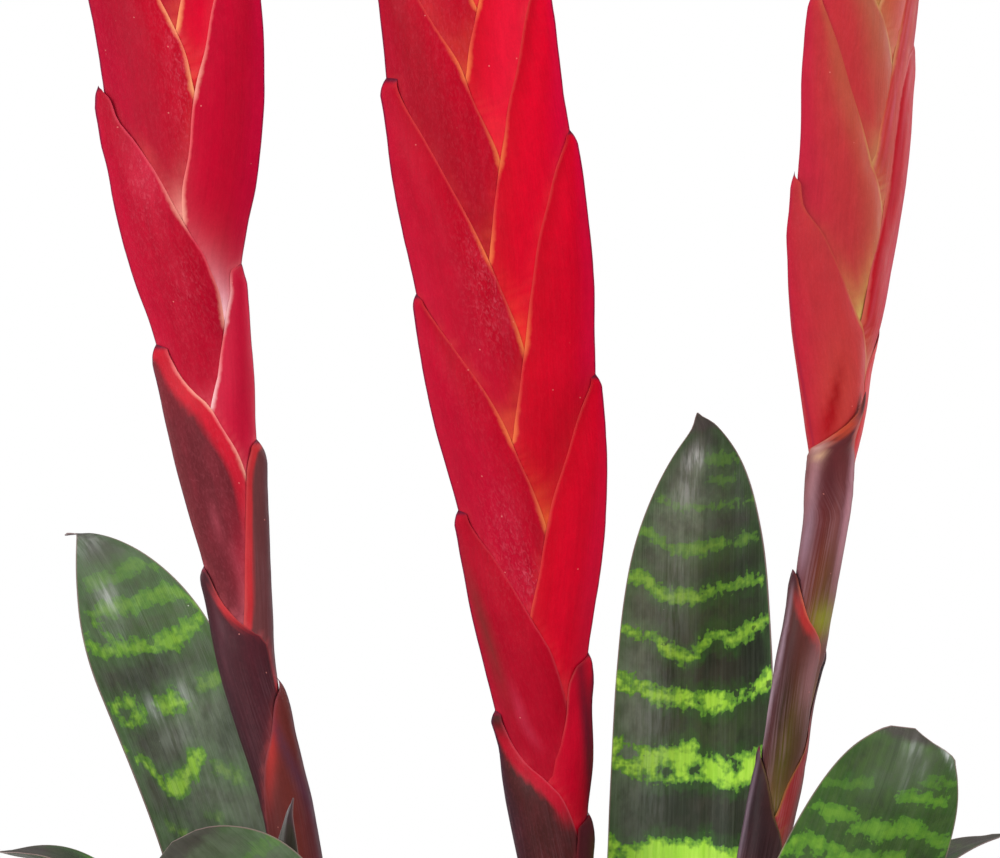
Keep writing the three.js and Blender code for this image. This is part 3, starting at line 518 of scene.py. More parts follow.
def shade(c, spec):
    """The pigment of a bract, with a few painted highlights and patches of painted sheen, as smooth gradients between
    the few colours in spec.
    """
    Z, mg, kd, tp = c["Z"], c["mg"], c["kd"], c["tp"]
    w = kd / np.maximum(kd + mg, 1e-3)
    keel, main, marg = lin(*spec["keel"]), lin(*spec["main"]), lin(*spec["margin"])
    n1 = noise2(c["X"] / 9.0, c["Y"] / 26.0, c["seed"] + 20)
    col = blend(keel + 0 * Z[..., None], main + 0 * Z[..., None], smooth((w + 0.10 * n1) / spec.get("keel_w", 0.45)))
    col = blend(col, marg, smooth((w + 0.12 * n1 - spec.get("marg_from", 0.5)) / 0.45))
    if "base" in spec:
        zb = spec.get("base_z", c["z1"] + 6)
        col = blend(col, lin(*spec["base"]), 1 - smooth((Z + 3 * n1 - zb) / spec.get("base_len", 16)))
    uu = across(c)
    if "band" in spec:
        colour, width, z_from = spec["band"]
        m = (1 - smooth((mg + 0.5 * n1 - width) / (0.55 * width))) * smooth((Z - z_from) / 8) * smooth((tp - spec.get("band_tip", -8.0)) / 7.0)
        col = blend(col, lin(*colour), m * spec.get("band_k", 1.0))
    for s in spec.get("spots", ()):
        # colour, height, side offset, half height, half width, strength, lean of the patch; most patches are pigment, a
        # few are painted highlights and sheen
        colour, z, u, hz, hu, k = s[:6]
        lean = s[6] if len(s) > 6 else 0.0
        m = k * bell((Z - z + 1.5 * n1) / hz) * bell((uu - u - lean * (Z - z) + 0.5 * n1) / hu)
        col = blend(col, lin(*colour), clamp01(m))
    if "glow" in spec:
        colour, reach, rise, k = spec["glow"]
        rim_in = np.maximum(np.exp(-np.maximum(c["cover1"] - 0.2, 0) / reach), 0.45 * np.exp(-np.maximum(c["cover2"] - 0.2, 0) / (0.5 * reach)))
        m = k * rim_in * np.exp(-np.maximum(Z - c["zv"] - 1.5, 0) / (0.42 * rise))
        col = blend(col, lin(*colour), clamp01(m))
    if "tip" in spec:
        col = blend(col, lin(*spec["tip"]), 1 - smooth((tp - 0.6) / spec.get("tip_len", 3.0)))
    # the thin margin line: its colour, and how far it shows
    lz = spec.get("line", ((0, 1.0),))
    c["line"] = np.interp(Z, [p[0] for p in lz], [p[1] for p in lz])
    warm = clamp01(c["warm"] * spec.get("warm", 1.0))
    c["warm"] = warm
    faint = spec.get("faint", 1.0)
    c["line"] = c["line"] * (faint + (1 - faint) * warm)
    c["lcol"] = blend(lin(*spec["line_col"]) + 0 * Z[..., None], lin(*spec["warm_col"]), warm)
    near = 0.40 * np.exp(-np.maximum(c["cover"] - 0.1, 0) / 0.55) * clamp01(c.get("near", 1.0))
    col = blend(col, lin(*spec["line_col"]), near * spec.get("near", 1.0))
    # how dimpled the skin is, raised in the rough patches; the material paints pink sheen and glints in the same amount
    d = spec.get("dimple", 0.2) + 0 * Z
    for z, u, hz, hu, k in spec.get("rough", ()):
        d = d + k * bell((Z - z) / hz) * bell((uu - u) / hu)
    c["shiny"] = spec.get("shiny", 1.0)
    c["crease"] = spec.get("crease", 1.0)
    for colour, dist, half_w, k in spec.get("streaks", ()):
        # long pale streaks that run beside the margin
        m = k * bell((mg - dist - 0.4 * n1) / half_w) * smooth(tp / 6.0) * (0.75 + 0.25 * noise2(c["Y"] / 6.0, dist, c["seed"] + 31))
        col = blend(col, lin(*colour), clamp01(m))
    c["dimple"] = np.clip(d * (1 + 0.5 * n1), 0, 1.6)
    return col


# Measured frames of the three flower spikes, the same as the CAD model's. cage rows: height, axis x, axis y, half width
# on the left and on the right, half thickness, roundness exponent. bracts: node, keel angle, [height, half wrap angle].
SPIKES = {
    'left': dict(crown=(-34, -8), turn=0,
     cage=[(258, -43.98, -6, 6.86, 5.86, 5.59, 0.51),
           (269.7, -46.75, -5.7, 6.82, 5.82, 5.47, 0.514),
           (281.3, -49.48, -5.4, 6.62, 5.56, 5.16, 0.52),
           (293, -51.76, -5.11, 6.37, 5.26, 4.82, 0.527),
           (304.6, -54.85, -4.81, 6.29, 5.16, 4.54, 0.534),
           (316.3, -57.88, -4.51, 6.53, 5.04, 4.44, 0.54),
           (328, -60.25, -4.21, 7.04, 5.16, 4.54, 0.551),
           (339.6, -61.69, -3.91, 7.5, 5.61, 4.63, 0.58),
           (351.3, -62.88, -3.62, 8.73, 5.8, 4.83, 0.626),
           (363, -64.22, -3.32, 10.4, 6.17, 5.07, 0.675),
           (374.7, -65.6, -3.02, 11.73, 6.36, 5.14, 0.724),
           (386.3, -67.16, -2.73, 12.35, 6.59, 5.19, 0.773),
           (398, -68.48, -2.43, 12.91, 7.07, 5.33, 0.822),
           (409.7, -69.66, -2.13, 14.51, 6.97, 5.45, 0.871),
           (421.4, -71.18, -1.83, 16.74, 7.53, 5.84, 0.92),
           (433.1, -72.71, -1.54, 18.12, 10.05, 6.12, 0.967),
           (444.8, -74.01, -1.24, 18.9, 13.31, 6.17, 0.994),
           (456.5, -75.17, -0.94, 19.2, 15.31, 5.87, 1),
           (468.3, -76.2, -0.64, 19.12, 16.43, 5.8, 1),
           (480, -77.23, -0.35, 19.38, 16.64, 5.66, 1),
           (491.7, -78.36, -0.05, 19.76, 16.1, 5.16, 1),
           (503.4, -79.94, 0.25, 18.97, 15.67, 5.09, 1),
           (515.2, -81.15, 0.55, 17.09, 14.84, 5.22, 1),
           (526.9, -82.33, 0.84, 14.18, 12.95, 5.07, 1),
           (538.6, -83.49, 1.14, 10.65, 9.98, 4.6, 1),
           (550.4, -84.18, 1.44, 6.81, 6.1, 3.72, 1),
           (562.1, -84.87, 1.74, 2.84, 2.06, 2.01, 1),
           (571, -85.39, 1.96, 0.97, 0.2, 1.06, 1)],
     nodes=[272.6, 296.9, 321.2, 346.7, 369.8, 391.7, 416.1, 442.9, 464.8, 483.2, 499, 512.5, 524.7, 535.7, 545.5],
     nu=[(232.6, -1.5), (272.6, 0), (296.9, 1), (321.2, 2), (346.7, 3), (369.8, 4), (391.7, 5), (416.1, 6), (442.9, 7), (464.8, 8), (483.2, 9), (499, 10), (512.5, 11), (524.7, 12), (535.7, 13), (545.5, 14), (577.4, 18)],
     bracts={'R4': (0, 0, [(272.6, 2.9), (279.9, 2.751), (286.2, 2.721), (291.5, 2.538), (298.8, 2.204), (304.8, 1.84), (311.4, 1.342), (318, 0.979), (324.1, 0)]),
             'L3': (1, 180, [(296.9, 2.9), (312.4, 2.66), (331.3, 2.41), (334.6, 2.051), (336.6, 1.513), (340.6, 1.042), (345.2, 0.712), (348.4, 0.592), (351.3, 0)]),
             'R3': (2, 0, [(321.2, 2.9), (327.9, 2.45), (336.2, 1.709), (339.2, 1.637), (347.9, 1.475), (357.8, 1.295), (367.8, 1.124), (374.4, 0.974), (380, 0.73), (382.2, 0)]),
             'L2': (3, 180, [(346.7, 2.9), (357.9, 2.453), (371.7, 2.203), (374.4, 2.122), (379.8, 1.874), (384.4, 1.566), (390.3, 1.34), (393.6, 1.08), (398.3, 0.808), (404.1, 0.646), (405.3, 0)]),
             'R2': (4, 0, [(369.8, 2.9), (377.7, 2.45), (387.3, 1.843), (390.3, 1.766), (402.3, 1.428), (409.6, 1.182), (419.7, 0.946), (423.4, 0.799), (425.6, 0)]),
             'L1': (5, 180, [(391.7, 2.9), (398.5, 2.45), (406.8, 2.028), (409.6, 1.993), (417, 1.927), (423.7, 1.693), (431.7, 1.442), (445.1, 1.124), (457.8, 0.757), (464.5, 0.571), (467.3, 0.379), (468.3, 0)]),
             'R1': (6, 0, [(416.1, 2.9), (423.7, 2.45), (433.1, 1.815), (436.4, 1.785), (442.4, 1.74), (451.8, 1.604), (460.4, 1.529), (468.3, 1.419), (477.2, 1.26), (485.2, 1.138), (500.3, 0.813), (509.8, 0.539), (516.6, 0)]),
             'L0': (7, 180, [(442.9, 2.9), (452.3, 2.45), (463.9, 1.714), (467.2, 1.684), (473.9, 1.621), (481.9, 1.489), (489.3, 1.337), (497.1, 1.145), (505.9, 0.859), (513.7, 0.426), (518.1, 0)])}),
    'middle': dict(crown=(8, 34), turn=0,
     cage=[(255.7, 16.59, 24, 8.58, 5.79, 5.57, 0.549),
           (267.5, 16.08, 23.82, 9.29, 5.9, 5.49, 0.565),
           (279.4, 15.57, 23.62, 10.72, 5.8, 5.32, 0.612),
           (291.3, 15.2, 23.26, 11.94, 6.24, 5.34, 0.684),
           (303.2, 14.8, 22.89, 12.8, 7.14, 5.34, 0.775),
           (315.1, 13.72, 22.54, 14.02, 7.19, 5.3, 0.867),
           (327, 12.65, 22.18, 15.31, 8.36, 5.71, 0.949),
           (338.9, 11.22, 21.82, 16.23, 10.85, 5.96, 0.993),
           (350.8, 9.79, 21.46, 16.57, 13.61, 5.84, 1),
           (362.6, 8.6, 21.1, 17.45, 15.4, 5.94, 1),
           (374.5, 7.36, 20.74, 18.83, 16.37, 5.94, 1),
           (386.4, 5.9, 20.38, 20.03, 16.82, 5.61, 1),
           (398.2, 4.43, 20.02, 20.62, 17.33, 5.58, 1),
           (410.1, 2.88, 19.66, 20.71, 18.07, 5.73, 1),
           (421.9, 1.18, 19.3, 20.81, 18.99, 5.78, 1),
           (433.7, -0.66, 18.94, 21.15, 19.34, 5.64, 1),
           (445.6, -2.35, 18.58, 21.37, 19.14, 5.21, 1),
           (457.4, -3.96, 18.23, 20.7, 18.94, 5.12, 1),
           (469.2, -6.25, 17.87, 19.63, 18.8, 5.35, 1),
           (481, -7.5, 17.51, 19.01, 18.03, 5.27, 1),
           (492.9, -8.39, 17.14, 18.89, 17.12, 4.97, 1),
           (504.7, -9.57, 16.79, 18.76, 16.99, 5.13, 1),
           (516.5, -10.75, 16.43, 18.39, 16.72, 5.41, 1),
           (528.3, -11.96, 16.07, 17.38, 15.57, 5.37, 1),
           (540, -13.52, 15.71, 15.63, 14, 5.22, 1),
           (551.8, -15.1, 15.35, 13.27, 12.02, 4.97, 1),
           (563.6, -16.67, 14.99, 10.28, 9.33, 4.52, 1),
           (575.4, -17.78, 14.63, 6.51, 5.6, 3.6, 1),
           (587.2, -18.87, 14.27, 2.31, 1.51, 1.63, 1),
           (596, -19.68, 14, 0.3, 0.2, 0.52, 1)],
     nodes=[255.7, 270.5, 287.4, 302.7, 320.6, 341.1, 366.1, 384.6, 408.1, 429.8, 453.7, 474.4, 492.9, 510.1, 526, 540.8, 553.1, 564.1],
     nu=[(215.7, -1.5), (255.7, 0), (270.5, 1), (287.4, 2), (302.7, 3), (320.6, 4), (341.1, 5), (366.1, 6), (384.6, 7), (408.1, 8), (429.8, 9), (453.7, 10), (474.4, 11), (492.9, 12), (510.1, 13), (526, 14), (540.8, 15), (553.1, 16), (564.1, 17), (601, 21)],
     bracts={'R5': (0, 0, [(255.7, 2.9), (261.2, 2.45), (268, 1.381), (275.5, 1.086), (282.7, 0.992), (286.1, 0.962), (289.9, 0)]),
             'L4': (1, 180, [(270.5, 2.9), (275.5, 2.643), (281.7, 2.393), (285.1, 2.157), (290.8, 1.806), (297.3, 1.346), (302.7, 0.836), (307.9, 0.567), (314.1, 0.464), (315.1, 0)]),
             'R4': (2, 0, [(287.4, 2.9), (292.6, 2.45), (299, 1.73), (302.7, 1.662), (307.9, 1.466), (314.4, 1.206), (321.6, 1.079), (325.9, 0.869), (329.5, 0)]),
             'L3': (3, 180, [(302.7, 2.9), (307.2, 2.45), (312.7, 2.056), (315.4, 2.002), (324.6, 1.745), (334.4, 1.456), (343.2, 1.204), (352.4, 0.902), (361.4, 0.557), (363.6, 0.508), (364.6, 0)]),
             'R3': (4, 0, [(320.6, 2.9), (327.6, 2.45), (336.2, 1.834), (338.8, 1.787), (344.5, 1.669), (355.2, 1.485), (365.8, 1.295), (378.6, 0.977), (389, 0.695), (397.2, 0.403), (398.2, 0)]),
             'L2': (5, 180, [(341.1, 2.9), (348.1, 2.45), (356.7, 1.782), (359.6, 1.749), (365.1, 1.669), (376.2, 1.471), (386.6, 1.314), (400.1, 0.962), (409.5, 0.644), (416, 0.412), (418, 0)]),
             'R2': (6, 0, [(366.1, 2.9), (373.2, 2.45), (381.9, 1.742), (384.5, 1.703), (396.7, 1.545), (408.8, 1.381), (427.6, 1.141), (439.1, 0.923), (450.6, 0.627), (456.4, 0.417), (458.4, 0)]),
             'L1': (7, 180, [(384.6, 2.9), (391.7, 2.45), (400.4, 1.725), (405.3, 1.695), (414.8, 1.557), (431, 1.344), (447.2, 1.045), (455.9, 0.841), (466.4, 0.576), (470.9, 0.522), (471.2, 0)]),
             'R1': (8, 0, [(408.1, 2.9), (415.4, 2.45), (424.4, 1.758), (429.6, 1.693), (440.4, 1.557), (450.8, 1.403), (463, 1.222), (473.4, 0.997), (483.3, 0.82), (490.4, 0.658), (496.5, 0.483), (501.5, 0)]),
             'L0': (9, 180, [(429.8, 2.9), (436.9, 2.45), (445.6, 1.737), (451.4, 1.707), (461.6, 1.567), (472.9, 1.438), (482.2, 1.182), (490.4, 0.949), (499.7, 0.66), (505.2, 0.522), (510.6, 0)])}),
    'right': dict(crown=(38, -16), turn=48,
     cage=[(258.7, 58.27, -14, 6.38, 6.94, 5.66, 0.5),
           (270.3, 61, -14.23, 6.19, 6.67, 5.43, 0.5),
           (281.9, 63.7, -14.46, 5.82, 6.45, 5.03, 0.5),
           (293.5, 65.92, -14.69, 5.21, 6.61, 4.65, 0.5),
           (305.1, 68.12, -14.92, 5.23, 6.54, 4.54, 0.5),
           (316.7, 70.31, -15.15, 5.76, 6.07, 4.52, 0.5),
           (328.4, 72.55, -15.38, 5.7, 6.3, 4.5, 0.5),
           (340, 74.95, -15.61, 5.0, 5.5, 4.15, 0.5),
           (351.6, 76.85, -15.84, 4.85, 5.0, 3.9, 0.5),
           (363.1, 78.55, -16.07, 4.8, 4.6, 3.85, 0.5),
           (374.7, 79.66, -16.3, 5.4, 5.05, 3.95, 0.507),
           (386.3, 80.56, -16.53, 8.3, 7.52, 5.04, 0.567),
           (397.9, 81.05, -16.76, 11.83, 9.53, 5.28, 0.683),
           (409.5, 81.81, -16.99, 15.52, 12.73, 5.72, 0.817),
           (421.1, 82.79, -17.23, 18.18, 15.77, 5.92, 0.933),
           (432.6, 83.83, -17.46, 19.4, 17.48, 5.66, 0.993),
           (444.2, 85.12, -17.69, 19.38, 17.85, 5.61, 1),
           (455.8, 86.11, -17.92, 19.25, 17.65, 5.51, 1),
           (467.3, 86.55, -18.14, 19.13, 17.37, 5.05, 1),
           (478.9, 87.32, -18.38, 18.17, 17.44, 4.86, 1),
           (490.5, 88.59, -18.61, 17.63, 16.69, 4.87, 1),
           (502, 90.31, -18.84, 17.51, 15.43, 5.12, 1),
           (513.6, 92.05, -19.07, 16.56, 13.81, 5.17, 1),
           (525.1, 93.49, -19.3, 14.23, 11.54, 4.99, 1),
           (536.7, 94.83, -19.53, 9.95, 8.01, 4.29, 1),
           (548.2, 96.16, -19.76, 3.89, 2.9, 2.15, 1),
           (559.7, 97.49, -19.99, 0.5, 0.2, 0.64, 1)],
     nodes=[269.6, 287.7, 309.5, 333.7, 354.2, 374.7, 393.6, 413.3, 432.2, 455.5, 472.4, 486.9, 500.1, 511.6, 521.7, 531.4],
     nu=[(229.6, -1.5), (269.6, 0), (287.7, 1), (309.5, 2), (333.7, 3), (354.2, 4), (374.7, 5), (393.6, 6), (413.3, 7), (432.2, 8), (455.5, 9), (472.4, 10), (486.9, 11), (500.1, 12), (511.6, 13), (521.7, 14), (531.4, 15), (565.2, 19)],
     bracts={'L6': (0, 142, [(269.6, 2.9), (275.6, 2.55), (282.9, 2.3), (292.1, 1.5), (297.4, 1.1), (302, 0.7), (305.1, 0.35), (308.3, 0)]),
             'R5': (1, -13, [(282.9, 2.5), (287.7, 2.9), (290.9, 2), (298.6, 1.6), (304.7, 1.1), (308.5, 0.85), (323, 0.5), (331, 0)]),
             'L4': (2, 142, [(309.5, 2.9), (319.7, 2.585), (332.2, 2.335), (334.9, 2.04), (338.9, 1.388), (344.8, 0.873), (348.2, 0.627), (350.8, 0)]),
             'B3': (3, -97, [(333.7, 2.9), (351.1, 2.75), (365, 2.6), (372.8, 1.8), (376.7, 1.466), (379.5, 1.08), (381.2, 0.707), (385.1, 0.30), (388.5, 0.13), (393.6, 0)]),
             'R3': (4, 0, [(354.2, 2.9), (367.8, 2.45), (384.4, 1.2), (391.6, 1.12), (397.5, 1.0), (402.8, 0.86), (410.5, 0)]),
             'L2': (5, 180, [(374.7, 2.9), (386.5, 2.45), (400.8, 1.988), (404.1, 1.822), (410.1, 1.583), (418, 1.278), (424.6, 1.056), (431.2, 0.853), (437.8, 0.559), (443.2, 0.394), (446.1, 0)]),
             'R2': (6, 0, [(393.6, 2.9), (401.2, 2.45), (410.5, 1.543), (412.7, 1.513), (424.6, 1.428), (436.5, 1.262), (442.5, 1.194), (453.7, 1.164), (463, 1.065), (474.8, 0.777), (479.4, 0)]),
             'L1': (7, 180, [(413.3, 2.9), (423.7, 2.45), (436.3, 1.913), (439.2, 1.819), (444.5, 1.655), (451.1, 1.464), (458.3, 1.297), (465.6, 1.124), (474.9, 0.899), (482.8, 0.634), (487.6, 0.44), (488.8, 0)]),
             'R1': (8, 0, [(432.2, 2.9), (438.7, 2.45), (446.6, 1.622), (449.1, 1.592), (455.1, 1.522), (462.3, 1.386), (473.5, 1.194), (481.5, 1.094), (488.1, 1.038), (497.7, 0.995), (507.3, 0)]),
             'L0': (9, 180, [(455.5, 2.9), (463, 2.45), (472.2, 1.965), (475.5, 1.862), (481.5, 1.656), (488.1, 1.386), (492.9, 1.147), (499.6, 0.855), (506.1, 0.559), (512.1, 0)])}),
}


# =====================================================================  materials

class Tree:
    """Short names for building a node tree."""

    def __init__(self, name):
        self.mat = bpy.data.materials.new(name)
        self.mat.use_nodes = True
        self.t = self.mat.node_tree
        self.t.nodes.clear()
        self.out = self.t.nodes.new("ShaderNodeOutputMaterial")
        self.bsdf = self.t.nodes.new("ShaderNodeBsdfPrincipled")
        self.t.links.new(self.bsdf.outputs[0], self.out.inputs[0])

    def put(self, sock, v):
        if isinstance(v, bpy.types.NodeSocket):
            self.t.links.new(v, sock)
        elif isinstance(v, (tuple, list, np.ndarray)) and hasattr(sock, "default_value") and len(sock.default_value) == 4 and len(v) == 3:
            sock.default_value = (*[float(x) for x in v], 1.0)
        elif isinstance(v, (tuple, list, np.ndarray)):
            sock.default_value = [float(x) for x in v]
        else:
            sock.default_value = v

    def attr(self, name, out="Vector"):
        n = self.t.nodes.new("ShaderNodeAttribute")
        n.attribute_type = "GEOMETRY"
        n.attribute_name = name
        return n.outputs[out]

    def math(self, op, a, b=None, c=None, clamp=False):
        n = self.t.nodes.new("ShaderNodeMath")
        n.operation = op
        n.use_clamp = clamp
        for i, v in enumerate((a, b, c)):
            if v is not None:
                self.put(n.inputs[i], v)
        return n.outputs[0]

    def vec(self, op, a, b=None, scale=None):
        n = self.t.nodes.new("ShaderNodeVectorMath")
        n.operation = op
        self.put(n.inputs[0], a)
        if b is not None:
            self.put(n.inputs[1], b)
        if scale is not None:
            self.put(n.inputs["Scale"], scale)
        return n.outputs[0]

    def split(self, v):
        n = self.t.nodes.new("ShaderNodeSeparateXYZ")
        self.put(n.inputs[0], v)
        return n.outputs

    def join(self, x, y, z):
        n = self.t.nodes.new("ShaderNodeCombineXYZ")
        for i, v in enumerate((x, y, z)):
            self.put(n.inputs[i], v)
        return n.outputs[0]

    def noise(self, v, scale=1.0, detail=2.0, rough=0.5, stretch=None, distort=0.0):
        if stretch is not None:
            v = self.vec("MULTIPLY", v, stretch)
        n = self.t.nodes.new("ShaderNodeTexNoise")
        n.inputs["Scale"].default_value = scale
        n.inputs["Detail"].default_value = detail
        n.inputs["Roughness"].default_value = rough
        n.inputs["Distortion"].default_value = distort
        self.put(n.inputs["Vector"], v)
        return n.outputs[0]

    def voronoi(self, v, scale=1.0, feature="F1", stretch=None, out="Distance", rand=1.0):
        if stretch is not None:
            v = self.vec("MULTIPLY", v, stretch)
        n = self.t.nodes.new("ShaderNodeTexVoronoi")
        n.feature = feature
        n.inputs["Scale"].default_value = scale
        n.inputs["Randomness"].default_value = rand
        self.put(n.inputs["Vector"], v)
        return n.outputs[out]

    def ramp(self, x, lo, hi, a=0.0, b=1.0, kind="SMOOTHSTEP"):
        n = self.t.nodes.new("ShaderNodeMapRange")
        n.interpolation_type = kind
        for i, v in enumerate((x, lo, hi, a, b)):
            self.put(n.inputs[i], v)
        return n.outputs[0]

    def mix(self, f, a, b, kind="MIX"):
        n = self.t.nodes.new("ShaderNodeMix")
        n.data_type = "RGBA"
        n.blend_type = kind
        n.clamp_factor = True
        self.put(n.inputs[0], f)
        self.put(n.inputs[6], a)
        self.put(n.inputs[7], b)
        return n.outputs[2]

    def bump(self, height, distance, strength=1.0, normal=None):
        n = self.t.nodes.new("ShaderNodeBump")
        n.inputs["Strength"].default_value = strength
        n.inputs["Distance"].default_value = distance
        self.put(n.inputs["Height"], height)
        if normal is not None:
            self.put(n.inputs["Normal"], normal)
        return n.outputs[0]

    def set(self, **k):
        for name, v in k.items():
            self.put(self.bsdf.inputs[name.replace("_", " ")], v)
        return self.mat


def bract_material(name, dimple=1.0, line_col=(226, 112, 70), keel_col=(70, 18, 60), coat=0.02, rough=0.40, gloss=0.07, keel_k=0.6, fibre=0.0):
    m = Tree(name)
    co = m.attr("coord")
    mg, kd, tp = m.split(m.attr("edge"))
    side, line, warm = m.split(m.attr("side"))
    dimple_and_sheen, shiny, crease = m.split(m.attr("skin"))
    col = m.attr("col", "Color")
    # long fine veins and a softer mottling in the pigment
    vein = m.noise(co, 1.0, 3.0, 0.62, (1.9, 0.035, 1.0))
    vein2 = m.noise(co, 1.0, 2.0, 0.6, (0.75, 0.02, 1.0))
    mott = m.noise(co, 0.42, 4.0, 0.62, (1.0, 0.55, 1.0))
    fine = m.noise(co, 2.6, 3.0, 0.6, (1.0, 0.7, 1.0))
    k = m.math("ADD", m.ramp(vein, 0.3, 0.7, -0.035, 0.035, "LINEAR"), m.ramp(vein2, 0.3, 0.7, -0.035, 0.035, "LINEAR"))
    k = m.math("ADD", k, m.ramp(mott, 0.3, 0.7, -0.06, 0.06, "LINEAR"))
    k = m.math("ADD", k, m.ramp(fine, 0.3, 0.7, -0.04, 0.04, "LINEAR"))
    k = m.math("ADD", k, 1.0)
    c = m.mix(1.0, col, m.join(k, k, k), "MULTIPLY")
    # a faint painted pink sheen, and painted pink glints where the skin is dimpled
    painted_sheen = m.math("MULTIPLY", m.ramp(m.noise(co, 0.30, 3.0, 0.6, (1.0, 0.35, 1.0)), 0.40, 0.75, 0.0, 0.16), dimple_and_sheen, clamp=True)
    c = m.mix(painted_sheen, c, lin(225, 70, 95))
    grain = m.noise(co, 1.9, 3.0, 0.55, (1.0, 0.42, 1.0), 0.6)
    c = m.mix(m.math("MULTIPLY", m.ramp(grain, 0.42, 0.80, 0.0, 0.20), dimple_and_sheen, clamp=True), c, lin(238, 118, 136))
    # dry pale fibres along an old bract
    if fibre:
        strand = m.math("MULTIPLY", m.ramp(m.noise(co, 1.0, 4.0, 0.7, (2.6, 0.03, 1.0)), 0.40, 0.70), m.ramp(m.noise(co, 0.2, 2.0, 0.5, (1.0, 0.3, 1.0)), 0.36, 0.62, 0.15, 1.0))
        c = m.mix(m.math("MULTIPLY", m.math("MULTIPLY", strand, fibre), m.ramp(tp, 16.0, 34.0)), c, lin(176, 134, 146))
    # tiny pale specks
    spk = m.voronoi(co, 0.42)
    rnd_ = m.split(m.voronoi(co, 0.42, out="Color"))[0]
    speck = m.math("MULTIPLY", m.ramp(spk, 0.055, 0.10, 1.0, 0.0), m.ramp(rnd_, 0.90, 0.93, 0.0, 1.0))
    c = m.mix(m.math("MULTIPLY", speck, 0.42), c, lin(240, 150, 140))
    # the dark keel line and the thin pale margin
    wob = m.ramp(m.noise(co, 0.5, 2.0), 0.3, 0.7, 0.82, 1.18, "LINEAR")
    keel = m.ramp(m.math("DIVIDE", kd, wob), 0.15, 0.65, 1.0, 0.0)
    c = m.mix(m.math("MULTIPLY", m.math("MULTIPLY", keel, keel_k), crease), c, lin(*keel_col))
    edge_w = m.math("MULTIPLY", wob, m.math("ADD", m.math("MULTIPLY", warm, 0.35), 0.36))
    edge = m.ramp(m.math("DIVIDE", mg, edge_w), 0.1, 2.4, 0.74, 0.0)
    edge = m.math("MULTIPLY", m.math("MULTIPLY", edge, line), m.ramp(tp, 0.8, 6.0, 0.2, 1.0))
    c = m.mix(edge, c, m.attr("lcol"))
    dark_tip = m.ramp(tp, 0.25, 1.3, 0.8, 0.0)
    c = m.mix(dark_tip, c, lin(80, 14, 40))
    # skin relief: dimples, then fine lengthwise lines
    cell = m.voronoi(co, 1.3, "SMOOTH_F1", (1.0, 0.7, 1.0))
    relief = m.math("MULTIPLY", m.math("ADD", m.ramp(grain, 0.36, 0.70, 0.0, 1.0), m.math("MULTIPLY", cell, 0.5)), dimple_and_sheen)
    n1 = m.bump(relief, 0.00010 * dimple, 0.9)
    n2 = m.bump(m.noise(co, 1.0, 3.0, 0.6, (1.6, 0.04, 1.0)), 0.00006, 0.8, n1)
    r = m.ramp(m.noise(co, 0.6, 3.0, 0.6, (1.0, 0.3, 1.0)), 0.3, 0.7, rough - 0.06, rough + 0.08, "LINEAR")
    r = m.math("ADD", r, m.math("MULTIPLY", m.math("SUBTRACT", 1.0, shiny), 0.18))
    return m.set(Base_Color=c, Roughness=r, Normal=n2, Specular_IOR_Level=gloss, Coat_Weight=coat, Coat_Roughness=0.28)


# =====================================================================  the three spikes

GLOW = ((226, 88, 40), 1.5, 15.0, 0.8)
MID_L = dict(keel=(184, 16, 48), main=(177, 3, 38), margin=(170, 0, 30), tip=(120, 6, 40), tip_len=1.2, glow=GLOW,
             line_col=(214, 70, 66), warm_col=(234, 126, 70), dimple=0.28, near=0.6, shiny=0.5, faint=0.55)
MID_R = dict(keel=(216, 0, 58), main=(214, 0, 38), margin=(188, 0, 28), tip=(120, 6, 40), tip_len=1.2, glow=GLOW,
             line_col=(218, 72, 70), warm_col=(234, 126, 70), dimple=0.06, near=0.6, shiny=0.5, faint=0.55)
COOL = dict(warm=0.0, glow=((200, 20, 40), 1.5, 6.0, 0.2))


def spec(first, *more, **k):
    d = dict(first)
    for m in more:
        d.update(m)
    d.update(k)
    return d


LEFT_L = spec(MID_L, faint=1.0, near=0.8, keel=(172, 4, 44), main=(162, 0, 34), line_col=(220, 84, 92), warm_col=(240, 170, 150), shiny=0.55)
LEFT_R = spec(MID_R, faint=1.0, near=0.8, keel=(206, 0, 54), main=(202, 0, 40), margin=(184, 0, 34), line_col=(226, 96, 100), warm_col=(240, 170, 150))
RIGHT_L = spec(MID_L, faint=1.0, shiny=0.8, near=0.35, line=((0, 0.6),), line_col=(180, 70, 54), warm_col=(206, 170, 96), dimple=0.15, tip=(110, 30, 60))
RIGHT_R = spec(MID_R, faint=1.0, near=0.8, shiny=0.8, line_col=(226, 120, 130), warm_col=(204, 150, 100), dimple=0.10, tip=(90, 20, 70))
